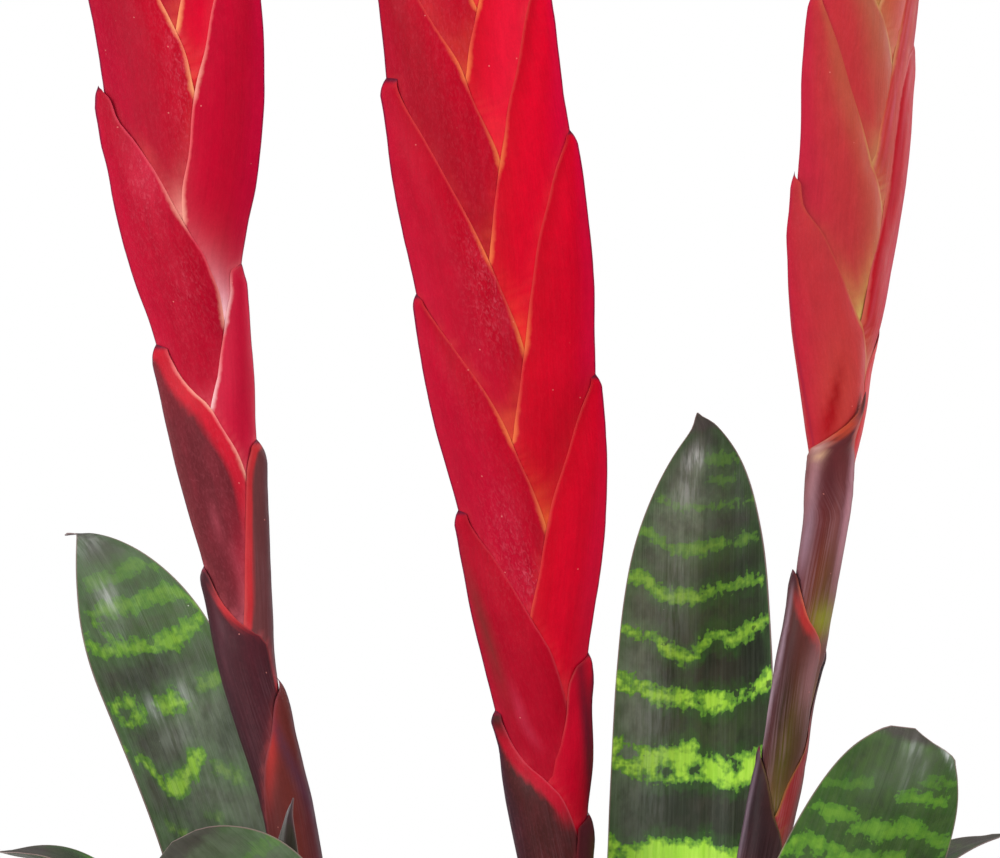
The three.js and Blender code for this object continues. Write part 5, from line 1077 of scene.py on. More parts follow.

# pattern of the leaves that stand free: b is the place across (-1 to 1), D the distance from the tip, mm.
# bands: (strength, [(b, D, half thickness), ...]); holes and blobs: (b, D, radius); painted glare patches: (b, D, half
# width, half length, strength)
PATTERN = {
    "right_leaf_01": {
        "bands": [
            (0.42, [(-0.85, 16.0, 1.1), (-0.58, 15.6, 1.8), (-0.2, 14.6, 1.4)]),
            (0.38, [(-0.68, 22.4, 0.9), (-0.45, 22.0, 1.1), (-0.17, 20.6, 0.9)]),
            (0.48, [(-1.0, 30.7, 0.7), (-0.58, 29.7, 0.7), (-0.2, 28.8, 0.7), (0.05, 28.4, 0.9), (0.4, 27.5, 0.9), (0.82, 24.3, 0.9)]),
            (0.62, [(-0.33, 40.3, 1.4), (-0.12, 40.3, 1.8), (0.08, 40.3, 2.1), (0.33, 39.8, 1.8), (0.53, 38.4, 1.1), (0.82, 33.9, 1.4), (0.98, 33.0, 1.1)]),
            (0.55, [(-0.9, 41.2, 0.9), (-0.67, 41.2, 1.8), (-0.52, 41.2, 1.1)]),
            (0.78, [(-0.93, 54.5, 1.1), (-0.65, 53.1, 1.6), (-0.45, 53.5, 1.1), (-0.22, 53.1, 1.4), (0.02, 54.0, 1.8), (0.25, 53.5, 2.3), (0.4, 53.5, 2.1), (0.6, 50.8, 2.1), (0.78, 47.1, 2.3), (0.97, 46.7, 1.8)]),
            (0.88, [(-0.28, 65.9, 1.1), (-0.15, 65.9, 1.6), (0.02, 68.7, 2.3), (0.17, 71.4, 1.6), (0.3, 69.6, 2.1), (0.47, 66.8, 2.3), (0.63, 64.1, 1.1), (0.8, 63.2, 1.4), (0.95, 62.2, 1.4)]),
            (0.8, [(-0.93, 65.9, 1.6), (-0.73, 66.8, 2.1), (-0.57, 67.3, 2.3), (-0.4, 68.2, 1.8)]),
            (1.0, [(-0.98, 81.9, 2.7), (-0.82, 82.8, 2.3), (-0.62, 84.2, 1.6), (-0.43, 85.1, 2.1), (-0.2, 84.7, 3.2), (0.0, 83.8, 2.5), (0.2, 81.9, 2.5), (0.4, 81.5, 2.1), (0.6, 80.1, 2.7), (0.72, 78.3, 1.4), (0.78, 77.8, 2.7), (0.98, 76.4, 2.5)]),
            (1.0, [(-0.83, 104.4, 4.3), (-0.62, 104.4, 4.1), (-0.35, 104.4, 4.1), (-0.22, 103.4, 3.7), (-0.05, 102.1, 3.2), (0.03, 99.3, 5.3), (0.18, 99.8, 5.0), (0.37, 100.2, 4.6), (0.57, 100.2, 4.8), (0.75, 98.9, 3.9), (0.98, 96.6, 4.6)]),
            (1.0, [(-0.55, 130.9, 5.3), (-0.25, 129.5, 5.3), (-0.17, 128.2, 6.9), (0.07, 128.2, 6.2), (0.27, 127.7, 6.2), (0.48, 127.2, 7.3), (0.6, 127.7, 5.9), (0.78, 127.7, 5.3), (0.98, 126.8, 6.9)]),
        ],
        "holes": [(0.13, 67.3, 1.6), (0.82, 77.3, 0.7), (0.02, 84.2, 0.6), (-0.43, 84.2, 1.1), (-0.65, 84.2, 0.7), (0.82, 96.6, 2.0), (0.38, 102.1, 1.5), (0.02, 102.1, 1.0), (-0.45, 102.5, 1.1), (0.67, 103.4, 0.8), (-0.02, 97.0, 0.7), (0.88, 124.5, 0.7)],
        "blobs": [],
        "painted_glare": [(0.25, 14.0, 2.6, 3.6, 0.9), (0.35, 23.0, 3.2, 6.0, 0.36), (0.35, 52.0, 4.0, 16.0, 0.16), (0.55, 92.0, 5.0, 26.0, 0.14)],
        "hook": (1.6, 0.3),
        "tone": (0.05, 0.0, 0.25),
        "widen": 1.10,
        "tints": [(1, 0.0, 26.0, 16.0, 20.0, 0.35), (1, 0.78, 85.0, 6.5, 40.0, 0.82), (1, 0.35, 30.0, 8.0, 18.0, 0.50), (1, 0.15, 60.0, 3.0, 30.0, 0.25), (2, -0.75, 75.0, 9.0, 45.0, 0.75), (2, 0.35, 75.0, 3.0, 7.0, 0.5), (0, -0.2, 92.0, 16.0, 6.0, 0.4), (0, -0.2, 60.0, 14.0, 5.0, 0.4), (0, 0.0, 45.0, 14.0, 4.0, 0.4)],
    },
    "left_leaf_02": {
        "bands": [
            (0.34, [(-0.83, 31.1, 0.9), (-0.77, 28.1, 1.5), (-0.38, 28.6, 1.5), (0.02, 29.4, 1.3), (0.28, 29.0, 1.5), (0.58, 29.4, 1.7)]),
            (0.5, [(-0.98, 44.8, 1.9), (-0.93, 40.9, 1.9), (-0.78, 38.4, 1.9), (-0.52, 38.4, 1.7), (-0.25, 38.4, 1.5), (0.07, 38.0, 1.7), (0.38, 37.5, 1.9), (0.73, 38.0, 0.9)]),
            (0.68, [(-0.98, 47.3, 1.1), (-0.82, 48.6, 1.3), (-0.58, 49.9, 1.5), (-0.38, 50.7, 2.1), (-0.22, 50.7, 1.7), (-0.02, 49.9, 1.5), (0.25, 49.0, 1.5), (0.52, 48.6, 1.3), (0.75, 48.2, 1.5), (0.93, 45.2, 1.3)]),
            (0.7, [(0.42, 46.9, 0.6), (0.53, 44.8, 0.9), (0.65, 42.6, 0.6), (0.78, 39.7, 0.5)]),
            (0.3, [(-0.75, 63.1, 1.5), (-0.57, 63.5, 1.5)]),
            (0.76, [(-0.12, 80.5, 1.6), (0.0, 82.2, 2.8), (0.1, 83.0, 1.5), (0.22, 85.7, 2.1), (0.4, 86.1, 2.4), (0.57, 84.0, 2.3), (0.65, 81.0, 2.0), (0.74, 78.2, 1.5), (0.8, 76.8, 0.8)]),
            (0.22, [(-0.57, 87.9, 1.6), (-0.37, 84.9, 1.6)]),
            (0.28, [(0.53, 97.7, 1.1), (0.72, 95.1, 1.1)]),
            (0.18, [(-0.13, 96.8, 0.9), (0.05, 94.7, 0.6)]),
        ],
        "holes": [(0.74, 64.6, 1.3), (-0.62, 43.1, 1.2), (0.52, 81.6, 1.3)],
        "blobs": [(0.8, 63.1, 2.7), (0.76, 66.1, 2.7), (0.58, 65.7, 2.8), (0.62, 62.9, 2.6), (0.1, 65.5, 3.0), (-0.05, 65.5, 3.0), (-0.15, 67.0, 1.9), (-1.0, 60.6, 1.2), (1.0, 73.8, 1.1)],
        "painted_glare": [(0.35, 35.0, 2.6, 5.0, 0.5), (0.28, 66.0, 1.4, 3.6, 0.6), (-0.25, 64.5, 1.8, 3.2, 0.45), (0.45, 44.0, 5.0, 5.0, 0.14), (0.1, 74.0, 7.0, 5.0, 0.16), (0.6, 14.0, 5.0, 6.0, 0.30), (0.0, 86.0, 34.0, 40.0, 0.07)],
        "hook": (1.8, 0.5),
        "nib": (2.6, 0.62, 3.0),
        "tone": (0.0, 0.30, 0.0),
        "widen": 1.35,
        "tints": [(1, 0.42, 35.0, 4.0, 7.0, 0.55), (1, 0.0, 73.0, 7.0, 5.0, 0.35), (1, -0.1, 66.0, 5.0, 4.0, 0.3), (0, 0.0, 26.0, 9.0, 5.0, 0.7), (0, -0.75, 48.0, 6.0, 14.0, 0.6), (0, 0.2, 44.0, 14.0, 5.0, 0.5),
                  (2, 0.3, 55.5, 12.0, 4.0, 0.8), (2, 0.5, 74.0, 4.0, 5.0, 0.7), (2, 0.2, 95.0, 12.0, 7.0, 0.3), (1, -0.2, 90.0, 12.0, 16.0, 0.45), (1, -0.5, 66.0, 6.0, 8.0, 0.4), (1, 0.2, 12.0, 6.0, 4.0, 0.4), (2, -0.6, 60.0, 5.0, 5.0, 0.5)],
        "tip_brown": 14.0,
    },
    "right_leaf_02": {
        "bands": [
            (0.35, [(-0.9, 20.5, 0.7), (-0.68, 18.8, 0.9), (-0.47, 16.6, 1.2)]),
            (0.45, [(0.42, 12.4, 0.7), (0.65, 12.0, 0.9), (0.88, 12.0, 0.7)]),
            (0.75, [(0.12, 17.7, 0.9), (0.3, 17.3, 1.1), (0.53, 17.0, 1.1), (0.78, 17.7, 0.7)]),
            (0.7, [(-0.88, 27.2, 0.5), (-0.78, 27.6, 1.1), (-0.7, 27.6, 1.6), (-0.57, 26.5, 1.6), (-0.43, 26.2, 0.9)]),
            (0.72, [(-0.28, 29.0, 1.2), (-0.1, 27.6, 1.9), (0.08, 28.0, 1.8), (0.25, 26.5, 1.6), (0.42, 25.8, 1.8)]),
            (0.7, [(0.53, 27.2, 0.7), (0.73, 28.3, 1.1), (0.93, 29.7, 1.2)]),
            (0.76, [(-0.98, 41.8, 1.6), (-0.92, 38.6, 2.3), (-0.72, 36.8, 1.8), (-0.55, 36.8, 1.6), (-0.38, 37.2, 1.4), (-0.23, 37.5, 1.1)]),
            (0.6, [(-0.17, 36.4, 1.1), (0.1, 36.1, 1.6), (0.32, 35.0, 1.6)]),
        ],
        "holes": [(-0.73, 38.6, 0.9), (-0.52, 38.2, 0.8), (-0.87, 40.7, 0.7)],
        "blobs": [(0.95, 32.6, 1.0)],
        "painted_glare": [(0.97, 4.5, 0.9, 3.6, 0.85), (0.1, 4.0, 2.0, 3.0, 0.30), (0.35, 8.0, 1.0, 4.5, 0.22), (0.1, 12.0, 0.7, 7.0, 0.20)],
        "hook": (0.0, 1.5),
        "tone": (0.8, 0.0, 0.30),
        "under": 1.0,
        "trim": (1, [(0, 0.3), (1.0, 0.36), (2.0, 0.62), (3.0, 0.92), (4.0, 1.04), (5.5, 1.06), (8.0, 1.02), (12.0, 1.0), (30.0, 1.0)], (1.2, 7.0, 0.5)),
        "widen": 1.4,
        "tints": [(1, 0.1, 8.0, 7.0, 8.0, 0.6), (1, -0.35, 16.0, 3.0, 6.0, 0.3), (2, -0.22, 24.0, 4.0, 9.0, 0.55), (2, 0.05, 12.0, 1.6, 7.0, 0.6), (2, 0.7, 22.0, 4.0, 3.0, 0.5), (2, -0.1, 21.0, 5.0, 2.6, 0.7), (2, 0.3, 31.5, 8.0, 2.2, 0.6), (2, 0.55, 8.0, 2.2, 5.0, 0.5)],
        "tip_brown": 3.5,
        "folds": [(0.25, 6.0, 2.0, 9.0, 0.9), (0.45, 6.0, 1.8, 8.0, -0.9), (0.05, 8.0, 2.0, 9.0, -0.8)],
    },
    "left_leaf_01": {"tip_brown": 9.0, "hook": (0.3, 0.0)},
    "left_leaf_05": {"tip_brown": 6.0, "hook": (0.5, -0.5), "tone": (0.2, 0.6, 0.0), "under": 1.0, "faint": 0.7},
    "left_leaf_03": {"tip_brown": 14.0, "hook": (0.4, 0.4), "under": 0.8},
    "right_leaf_03": {"tip_brown": 30.0, "hook": (0.6, 0.8)},
}


def leaf_line(lf, n, fine=6):
    _, crown, ring, az, length, width, sheath, lean, end, power, drift, sway, point, full, sharp = lf
    c = CROWNS[crown]
    r = LEAF_FIRST_R + ring * RING_STEP
    m = n * fine
    s = np.linspace(0, length, m + 1)
    u = np.maximum(0.0, (s - sheath) / (length - sheath))
    inc = np.radians(lean * (1 - np.exp(-u / 0.07)) + (end - lean) * u**power)
    a2 = math.radians(az) + np.radians(drift * u * u)
    side = np.radians(sway * u)[:, None]
    T0 = np.stack([np.sin(inc) * np.cos(a2), np.sin(inc) * np.sin(a2), np.cos(inc)], -1)
    W0 = np.stack([-np.sin(a2), np.cos(a2), 0 * inc], -1)
    N = np.stack([-np.cos(inc) * np.cos(a2), -np.cos(inc) * np.sin(a2), np.sin(inc)], -1)
    T = T0 * np.cos(side) + W0 * np.sin(side)
    W = W0 * np.cos(side) - T0 * np.sin(side)
    A = math.radians(az)
    start = np.array([c[0] + r * math.cos(A), c[1] + r * math.sin(A), BALL_TOP + 0.5])
    steps = T[1:] * (length / m)
    C = start + np.concatenate([[[0.0, 0.0, 0.0]], np.cumsum(steps, axis=0)])
    o = smooth((s - sheath * OPEN_FROM) / OPEN_SPAN)
    k = slice(None, None, fine)
    return s[k], C[k], N[k], W[k], r + (CHANNEL_R - r) * o[k], o[k]


def band_field(name, X, D, half, seed, length):
    """How far a point lies inside the nearest pale band (mm, negative outside), that band's strength, and the painted
    glare on the leaf.
    """
    b = X / half
    f = np.full(X.shape, -30.0)
    st = np.zeros(X.shape)

    def put(fi, si):
        nonlocal f, st
        st = np.where(fi > f, si, st)
        f = np.maximum(f, fi)

    pat = PATTERN.get(name, {})
    low = 0.0
    for s_, pts in pat.get("bands", ()):
        bs, ds, hs = (np.array(v) for v in zip(*pts))
        bc = np.clip(b, bs[0], bs[-1])
        gap = np.abs(b - bc) * half
        put(np.interp(bc, bs, hs) * pat.get("widen", 1.0) + (pat.get("widen", 1.0) - 1) - np.hypot(D - np.interp(bc, bs, ds), gap), s_)
        low = max(low, float(ds.max()))
    for b0, d0, r0 in pat.get("blobs", ()):
        put(r0 - np.hypot((b - b0) * half, D - d0), 0.74)
    for b0, d0, r0 in pat.get("holes", ()):
        f = np.minimum(f, np.hypot((b - b0) * half, D - d0) - r0)
    # the rest of the leaf: loose bands that widen and brighten toward the foot
    k, d0 = 0, (low + 24.0 if low else 13.0 + 8 * rnd(seed, 1))
    while d0 < length:
        dip = (2.5 + 3.0 * rnd(seed, 30 + k)) * (1 - np.abs(b) ** 1.4) * min(1.0, d0 / 60)
        mid = d0 + dip + 1.6 * noise2(X / 9.0, seed * 3.1 + k, 41) + 0.8 * noise2(X / 3.6, seed * 5.3 + k, 42)
        h = (0.9 + 0.036 * min(d0, 130)) * (1 + 0.35 * noise2(X / 6.0, seed * 7.7 + k, 43))
        cut = smooth((noise2(X / 7.0, seed * 2.9 + k * 1.7, 44) + 0.75) / 0.25)
        put(h - np.abs(D - mid) - (1 - cut) * 3.0, float(np.interp(d0, [10, 30, 60, 110], [0.35, 0.6, 0.85, 1.0])))
        step = (8.0 + 0.125 * min(d0, 140)) * (0.85 + 0.3 * rnd(seed, 60 + k))
        d0 += step
        k += 1
    # painted glare, pale highlight patches placed on the leaf
    painted_glare = np.zeros(X.shape)
    for b0, d0, hw, hl, s_ in pat.get("painted_glare", ()):
        painted_glare = np.maximum(painted_glare, s_ * bell((b - b0) * half / hw) * bell((D - d0) / hl))
    return f, st * pat.get("faint", 1.0), painted_glare


def build_leaf(lf, mat, seed):
    name, crown, ring, az, length, width, sheath, lean, end, power, drift, sway, point, full, sharp = lf
    pat = PATTERN.get(name, {})
    n, cells = (230, 44) if pat.get("bands") else (150, 26) if pat else (84, 18)
    s, C, N, W, rho, opened = leaf_line(lf, n)
    d = length - s
    half = (width / 2) * (1 - (1 - np.clip(d / point, 0, 1)) ** full) ** sharp * (1 + (SHEATH_WIDEN - 1) * (1 - opened))
    half = half * (1 + 0.010 * noise2(s / 14.0, seed * 1.7, 3) * smooth(d / 12))
    half = np.maximum(half, 0.20 + 0.35 * smooth(d / 2.5))
    nib = pat.get("nib", (1.0, 0.0, 1.0))
    half = np.maximum(half, 0.15 + nib[1] * smooth(d / nib[0]))
    hook = pat.get("hook", (0.9 * (rnd(seed, 77) - 0.5) * 2, 1.0))
    bend = np.square(smooth(1 - d / 6.5))[:, None]
    C = C + W * hook[0] * bend + N * hook[1] * bend
    t = np.linspace(-1, 1, cells + 1)
    b = 0.55 * np.sin(np.pi / 2 * t) + 0.45 * t
    S = np.repeat(s[:, None], len(b), 1)
    D = length - S
    H = half[:, None] + 0 * D
    X = b[None] * half[:, None]
    if "trim" in pat:
        # one side of the end is blunt and ragged
        side, cut, (r0, r1, size) = pat["trim"]
        k = np.interp(D, [p[0] for p in cut], [p[1] for p in cut])
        rag = size * np.maximum(0.0, noise2(D / 0.55, seed * 9.1, 61)) * smooth((D - r0) / 1.0) * (1 - smooth((D - r1) / 1.0))
        grow = k + rag / np.maximum(H, 0.5)
        X = np.where(np.sign(X) == side, X * grow, X)
    a = X / rho[:, None]
    mg = H * (1 - np.abs(b[None]))
    free = opened[:, None] * smooth(D / 6.0)
    wave = 0.55 * noise2(X / 16.0, S / 34.0, seed) + 0.35 * noise2(np.sign(X) * 3 + X / 40.0, S / 17.0, seed + 5) * np.square(b[None]) + 0.16 * noise2(X / 4.0, S / 30.0, seed + 8)
    groove = -0.35 * bell(X / 1.6) - 0.12 * np.cos(X / 1.45) * smooth(mg / 3)
    for b0, d0, hw, hl, amp in pat.get("folds", ()):
        wave = wave + amp * bell((b[None] - b0) * H / hw) * bell((D - d0) / hl)
    lift = (wave + groove) * free
    th = (0.95 - 0.35 * smooth((length - D) / length)) * (0.35 + 0.65 * smooth(mg / 3.0)) * (1 + (nib[2] - 1) * bell(D / nib[0]) * smooth(D / 0.9 + 0.25))

    def sheet(off):
        q = rho[:, None] + off
        return C[:, None, :] + (q * np.sin(a))[..., None] * W[:, None, :] + (rho[:, None] - q * np.cos(a))[..., None] * N[:, None, :]

    under = sheet(th / 2 - lift)
    upper = sheet(-th / 2 - lift)
    f, st, painted_glare = band_field(name, X, D, np.maximum(H, 1.0), seed, length)
    st = st * (1 - 0.75 * smooth((sheath * 0.9 - S) / 30))
    coord = np.stack([X, D, np.full(X.shape, 17.0 * seed)], -1)
    band = np.stack([f, st, painted_glare], -1)
    edge = np.stack([mg, D, D * (7.0 / pat.get("tip_brown", 7.0))], -1)
    up, dn = np.zeros(X.shape + (3,)), np.zeros(X.shape + (3,))
    up[..., 0] = 1.0
    dn[..., 0] = pat.get("under", 0.0)
    up[..., 1] = dn[..., 1] = 1 - smooth((S - sheath * 0.5) / 40)
    up[..., 2] = dn[..., 2] = smooth(1 - S / 14.0)
    tone = np.zeros(X.shape + (3,)) + np.array(pat.get("tone", (0.25 * rnd(seed, 80), 0.2 * rnd(seed, 81), 0.0)))
    # broader tints: which (0 greener, 1 paler as painted sheen, 2 darker as painted shade), place across, distance,
    # half widths, strength
    for w_, b0, d0, hw, hl, k in pat.get("tints", ()):
        tone[..., w_] = np.maximum(tone[..., w_], 0) + k * bell((b[None] - b0) * H / hw) * bell((D - d0) / hl)
    tone = clamp01(tone)
    so = Soup()
    add_sheet(so, under, upper, {"coord": (coord, coord), "band": (band, band), "edge": (edge, edge), "side": (dn, up), "tone": (tone, tone)})
    ob = so.mesh(f"blade_{name}", 60)
    ob.data.materials.append(mat)
    set_piece(ob, "leaf", name)
    return ob


def leaf_material(name):
    m = Tree(name)
    co = m.attr("coord")
    inside, strength, painted_glare = m.split(m.attr("band"))
    mg, D, end = m.split(m.attr("edge"))
    upper, low, foot = m.split(m.attr("side"))
    # ragged edges of the bands: fine teeth along the veins, and rounder bites
    streak = m.noise(co, 1.0, 3.0, 0.6, (0.62, 0.16, 1.0))
    blob = m.noise(co, 1.0, 3.0, 0.6, (0.36, 0.36, 1.0))
    small = m.noise(co, 1.0, 2.0, 0.6, (1.5, 1.1, 1.0))
    p = m.math("ADD", inside, m.ramp(streak, 0.3, 0.7, -0.55, 0.55, "LINEAR"))
    lump = m.noise(co, 1.0, 1.0, 0.5, (0.62, 0.55, 1.0))
    p = m.math("ADD", p, m.ramp(lump, 0.3, 0.7, -0.9, 0.9, "LINEAR"))
    p = m.math("ADD", p, m.ramp(blob, 0.3, 0.7, -0.6, 0.6, "LINEAR"))
    p = m.math("ADD", p, m.ramp(small, 0.3, 0.7, -0.3, 0.3, "LINEAR"))
    core = m.ramp(p, -0.30, 0.35)
    halo = m.ramp(p, -4.6, -0.3)
    heart = m.ramp(p, 0.2, 2.6)
    # dark round spots inside the bands
    vd = m.voronoi(co, 0.20, rand=1.0)
    vr = m.split(m.voronoi(co, 0.20, out="Color", rand=1.0))[0]
    spots = m.math("MULTIPLY", m.ramp(m.math("ADD", vd, m.ramp(small, 0.3, 0.7, -0.07, 0.07, "LINEAR")), 0.15, 0.24, 1.0, 0.0), m.ramp(vr, 0.72, 0.76, 0.0, 1.0))
    core = m.math("MULTIPLY", core, m.math("SUBTRACT", 1.0, m.math("MULTIPLY", spots, 0.75)))
    core = m.math("MULTIPLY", core, strength, clamp=True)
    # ground: dark olive, greener round the bands, purple grey between them
    big = m.noise(co, 1.0, 3.0, 0.55, (0.10, 0.07, 1.0))
    mid = m.noise(co, 1.0, 3.0, 0.6, (0.30, 0.16, 1.0))
    ground = m.mix(m.ramp(big, 0.40, 0.60), lin(*LEAF_GROUND[0]), lin(*LEAF_GROUND[1]))
    ground = m.mix(m.ramp(mid, 0.45, 0.65, 0.0, 0.55), ground, lin(*LEAF_GROUND[2]))
    ground = m.mix(m.math("MULTIPLY", halo, m.ramp(mid, 0.3, 0.7, 0.45, 0.85)), ground, lin(*LEAF_GROUND[3]))
    ground = m.mix(m.ramp(mg, 0.4, 4.5, 0.55, 0.0), ground, lin(*LEAF_GROUND[3]))
    green, light, dark = m.split(m.attr("tone"))
    # the dark tone is painted shade and the light tone painted sheen; the green tone is the leaf's own colour
    ground = m.mix(m.math("MULTIPLY", dark, m.ramp(mid, 0.30, 0.70, 1.0, 0.4), clamp=True), ground, lin(16, 20, 13))
    ground = m.mix(m.math("MULTIPLY", green, m.ramp(mid, 0.30, 0.65, 1.0, 0.35), clamp=True), ground, lin(70, 100, 44))
    ground = m.mix(m.math("MULTIPLY", light, m.ramp(mid, 0.30, 0.70, 0.45, 1.0), clamp=True), ground, lin(112, 124, 102))
    line = m.noise(co, 1.0, 3.0, 0.6, (1.2, 0.015, 1.0))
    ground = m.mix(m.ramp(line, 0.45, 0.70, 0.0, 0.14), ground, lin(96, 104, 88))
    veil = m.noise(co, 1.0, 3.0, 0.6, (0.55, 0.05, 1.0))
    pale = m.mix(m.ramp(veil, 0.35, 0.68), lin(*LEAF_PALE[0]), lin(*LEAF_PALE[1]))
    pale = m.mix(heart, lin(*LEAF_PALE[2]), pale)
    pale = m.mix(m.ramp(D, 25.0, 80.0, 0.75, 0.0), pale, lin(*LEAF_PALE[2]))
    c = m.mix(core, ground, pale)
    k = m.ramp(m.noise(co, 1.0, 3.0, 0.6, (0.8, 0.02, 1.0)), 0.3, 0.7, 0.90, 1.10, "LINEAR")
    c = m.mix(1.0, c, m.join(k, k, k), "MULTIPLY")
    # a few fine grooves, with painted shade in them
    g = m.ramp(m.noise(co, 1.0, 1.0, 0.4, (0.42, 0.004, 1.0)), 0.495, 0.505, 0.0, 1.0)
    g = m.math("MULTIPLY", m.math("MULTIPLY", g, m.math("SUBTRACT", 1.0, g)), 4.0)
    c = m.mix(m.math("MULTIPLY", g, 0.30), c, lin(30, 38, 26))
    # painted glare: pale grey-white highlights in streaked patches
    glare = m.math("MULTIPLY", painted_glare, m.ramp(m.noise(co, 1.0, 3.0, 0.6, (0.8, 0.09, 1.0)), 0.38, 0.62, 0.2, 1.0))
    c = m.mix(glare, c, lin(196, 200, 198))
    # scattered tiny pale specks
    pk = m.voronoi(co, 0.30)
    pr = m.split(m.voronoi(co, 0.30, out="Color"))[0]
    c = m.mix(m.math("MULTIPLY", m.ramp(pk, 0.035, 0.06, 0.7, 0.0), m.ramp(pr, 0.93, 0.95, 0.0, 1.0)), c, lin(210, 215, 200))
    # tip: purple brown
    c = m.mix(m.ramp(m.math("ADD", end, m.ramp(blob, 0.3, 0.7, -1.2, 1.2, "LINEAR")), 3.5, 7.5, 0.80, 0.0), c, m.mix(veil, lin(48, 38, 42), lin(92, 84, 82)))
    # thin pale rose margin
    c = m.mix(m.ramp(mg, 0.10, 0.42, 0.62, 0.0), c, lin(150, 122, 120))
    # underside: duller, more purple
    down = m.mix(1.0, c, lin(196, 168, 178), "MULTIPLY")
    down = m.mix(0.35, down, lin(72, 48, 58))
    c = m.mix(upper, down, c)
    # sheath: paler, then brown at the foot
    sh = m.mix(m.ramp(line, 0.35, 0.65), lin(92, 96, 62), lin(120, 116, 84))
    c = m.mix(m.math("MULTIPLY", low, 0.75), c, sh)
    c = m.mix(m.math("MULTIPLY", foot, 0.9), c, lin(86, 62, 42))
    h = m.math("ADD", m.math("MULTIPLY", m.noise(co, 1.0, 3.0, 0.6, (2.4, 0.03, 1.0)), 1.0), m.math("MULTIPLY", m.noise(co, 1.0, 2.0, 0.5, (0.9, 0.6, 1.0)), 0.25))
    n1 = m.bump(h, 0.00016, 0.9)
    r = m.ramp(m.noise(co, 1.0, 2.0, 0.6, (1.6, 0.05, 1.0)), 0.3, 0.7, 0.30, 0.44, "LINEAR")
    return m.set(Base_Color=c, Roughness=r, Normal=n1, Specular_IOR_Level=0.22, Coat_Weight=0.09, Coat_Roughness=0.24)


# =====================================================================  root ball

